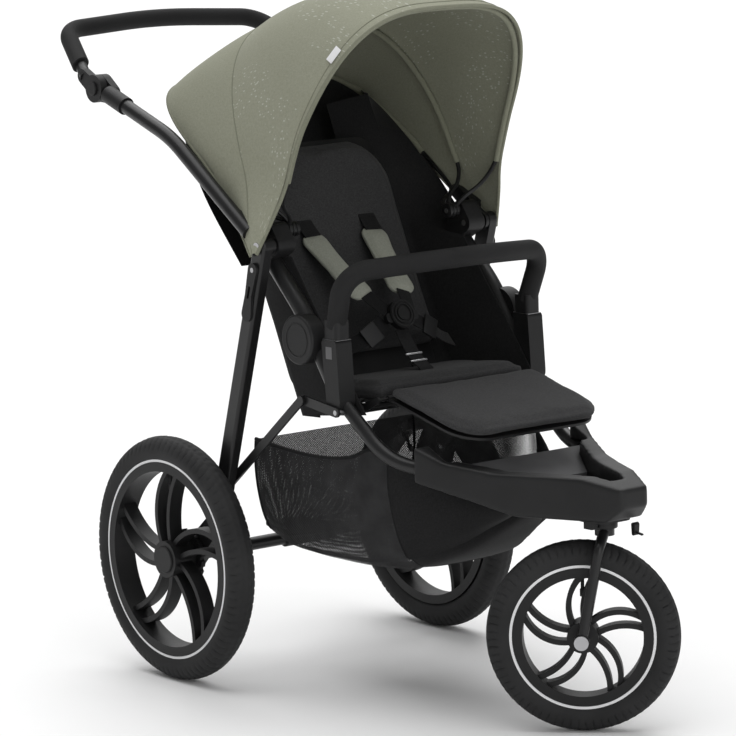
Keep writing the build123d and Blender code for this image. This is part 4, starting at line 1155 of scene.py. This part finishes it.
@dataclass
class Fittings:
    """Small pieces on the frame: rivets, the release buttons and the bright seam on the bumper bar."""

    def cover_dish(self, side: int) -> None:
        """The raised rim on a joint cover's face."""
        low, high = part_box("joint_covers")
        face = high.x if side > 0 else low.x
        centre = Vector((face, (low.y + high.y) / 2, (low.z + high.z) / 2))
        loop = [centre + Vector((side * -0.0002, 0.0265 * math.cos(t), 0.0265 * math.sin(t)))
                for t in np.linspace(0, 2 * math.pi, 33)[:-1]]
        piece = rod("joint_cover_rim_" + SIDES[side], loop, 0.0014, closed=True)
        WARDROBE.dress(piece, "plastic")
        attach(piece, "chassis")

    def bumper_details(self, side: int) -> None:
        """The seam's bright line and the release button on a bumper bracket."""
        low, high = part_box("bumper_brackets")
        name = SIDES[side]
        outer = high.x if side > 0 else low.x
        seam_z = high.z + 0.0002
        seam = block("bumper_seam_" + name, (0.0285, 0.0365, 0.0009),
                     Matrix.Translation((side * 0.195, -0.345 + AXLE_Y, seam_z)), 0.0004, 2)
        WARDROBE.dress(seam, "steel")
        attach(seam, "chassis")
        button = block("bumper_button_" + name, (0.0008, 0.015, 0.019),
                       Matrix.Translation((outer, -0.345 + AXLE_Y, seam_z - 0.02)), 0.0003)
        WARDROBE.dress(button, "grey")
        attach(button, "chassis")

    def rivets(self, side: int) -> None:
        """The two rivet heads on a fold bracket's outside."""
        name = SIDES[side]
        heads = []
        for y, z in ((-196, 742), (-210, 721)):
            matrix = axes(at(side * 211.4, y, z), Vector((0, 1, 0)), Vector((side, 0, 0)))
            heads.append(drum("rivet", 0.006, 0.0015, matrix, 0.0006, 24))
        piece = join(heads, "bracket_rivets_" + name)
        WARDROBE.dress(piece, "plastic")
        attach(piece, "chassis")

    def build(self) -> None:
        """Makes the fittings on both sides."""
        for side in SIDES:
            self.cover_dish(side)
            self.bumper_details(side)
            self.rivets(side)
        LOG.info("fittings built")


# ---- studio ----
@dataclass
class Studio:
    """The floor, the light and the camera."""

    camera_place: tuple[float, float, float] = (-3.58823, -4.71984, 1.39861)
    camera_aim: tuple[float, float, float] = (-0.139, -0.35, 0.533)
    camera_roll: float = -1.566
    lens: float = 176.8
    air: float = 0.3
    # each light's name, place, spread in degrees and strength
    lights: tuple[tuple[str, tuple[float, float, float], float, float], ...] = (
        ("top_light", (300, 400, 3600), 70, 2.5),
        ("key_light", (-500, -3200, 1500), 45, 0.8),
        ("back_light", (1800, 2600, 2800), 50, 0.6))

    def floor(self) -> None:
        """A pale seamless floor."""
        clear_selection()
        bpy.ops.mesh.primitive_plane_add(size=60)
        floor = bpy.context.object
        floor.name = "floor"
        tree = Tree("pale_floor")
        tree.give(tree.shader, "Base Color", tree.blend(tree.noise(3.0), (0.86,) * 3, (0.88,) * 3))
        tree.give(tree.shader, "Roughness", 0.9)
        floor.data.materials.append(tree.material)

    def lamp(self, name: str, place: Vector, spread: float, power: float) -> None:
        """A soft light that falls evenly over stroller and floor, from the direction of a place."""
        data = bpy.data.lights.new(name, "SUN")
        data.angle, data.energy = math.radians(spread), power
        lamp = bpy.data.objects.new(name, data)
        lamp.location = place
        lamp.rotation_euler = (at(0, -300, 500) - place).to_track_quat("-Z", "Y").to_euler()
        bpy.context.scene.collection.objects.link(lamp)

    def camera(self) -> None:
        """The camera, level with the seat and in front to the right."""
        data = bpy.data.cameras.new("camera")
        data.lens, data.sensor_width = self.lens, 36
        camera = bpy.data.objects.new("camera", data)
        shift = Vector((0, AXLE_Y, 0))
        place, aim = Vector(self.camera_place) + shift, Vector(self.camera_aim) + shift
        turn = (aim - place).to_track_quat("-Z", "Y").to_matrix()
        camera.matrix_world = Matrix.Translation(place) @ (turn @ Matrix.Rotation(
            math.radians(self.camera_roll), 3, "Z")).to_4x4()
        bpy.context.scene.collection.objects.link(camera)
        bpy.context.scene.camera = camera

    def build(self) -> None:
        """Sets the studio up."""
        self.floor()
        world = bpy.data.worlds.new("studio_air")
        world.use_nodes = True
        nodes, links = world.node_tree.nodes, world.node_tree.links
        air = nodes["Background"]
        air.inputs["Color"].default_value = (1, 1, 1, 1)
        air.inputs["Strength"].default_value = self.air
        kinds = ("Background", "LightPath", "MixShader")
        backdrop, seen, share = (nodes.new("ShaderNode" + kind) for kind in kinds)
        backdrop.inputs["Strength"].default_value = 1.0
        links.new(seen.outputs["Is Camera Ray"], share.inputs[0])
        links.new(air.outputs[0], share.inputs[1])
        links.new(backdrop.outputs[0], share.inputs[2])
        links.new(share.outputs[0], nodes["World Output"].inputs["Surface"])
        bpy.context.scene.world = world
        for name, place, spread, power in self.lights:
            self.lamp(name, at(*place), spread, power)
        bpy.context.scene.view_settings.view_transform = "Standard"
        self.camera()
        LOG.info("studio set")


def wheels() -> list[Wheel]:
    """The three wheels' tyres and valves."""
    made = []
    for side, name in SIDES.items():
        low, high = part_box("rear_tyre_" + name)
        tyre = Tyre("rear_tyre_" + name, "rear_wheel_" + name, 0.2, 0.048, 0.046, (low + high) / 2,
                    Vector((side, 0, 0)), 44)
        made.append(Wheel(tyre, 92.0 if side < 0 else 60.0, 0.144))
    low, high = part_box("front_tyre")
    turn = math.radians(45)
    tyre = Tyre("front_tyre", "front_wheel", 0.148, 0.044, 0.046, (low + high) / 2,
                Vector((-math.cos(turn), -math.sin(turn), 0)), 36)
    made.append(Wheel(tyre, 90.0, 0.092))
    return made


def main() -> None:
    """Builds the studio, dresses the CAD nodes and adds every sub-assembly."""
    logging.basicConfig(level=logging.INFO, format="%(name)s: %(message)s")
    Studio().build()
    WARDROBE.dress_nodes()
    for wheel in wheels():
        wheel.build()
    Canopy().build()
    Nose().build()
    Basket().build()
    Seat().build()
    Fittings().build()


if __name__ == "__main__":
    main()
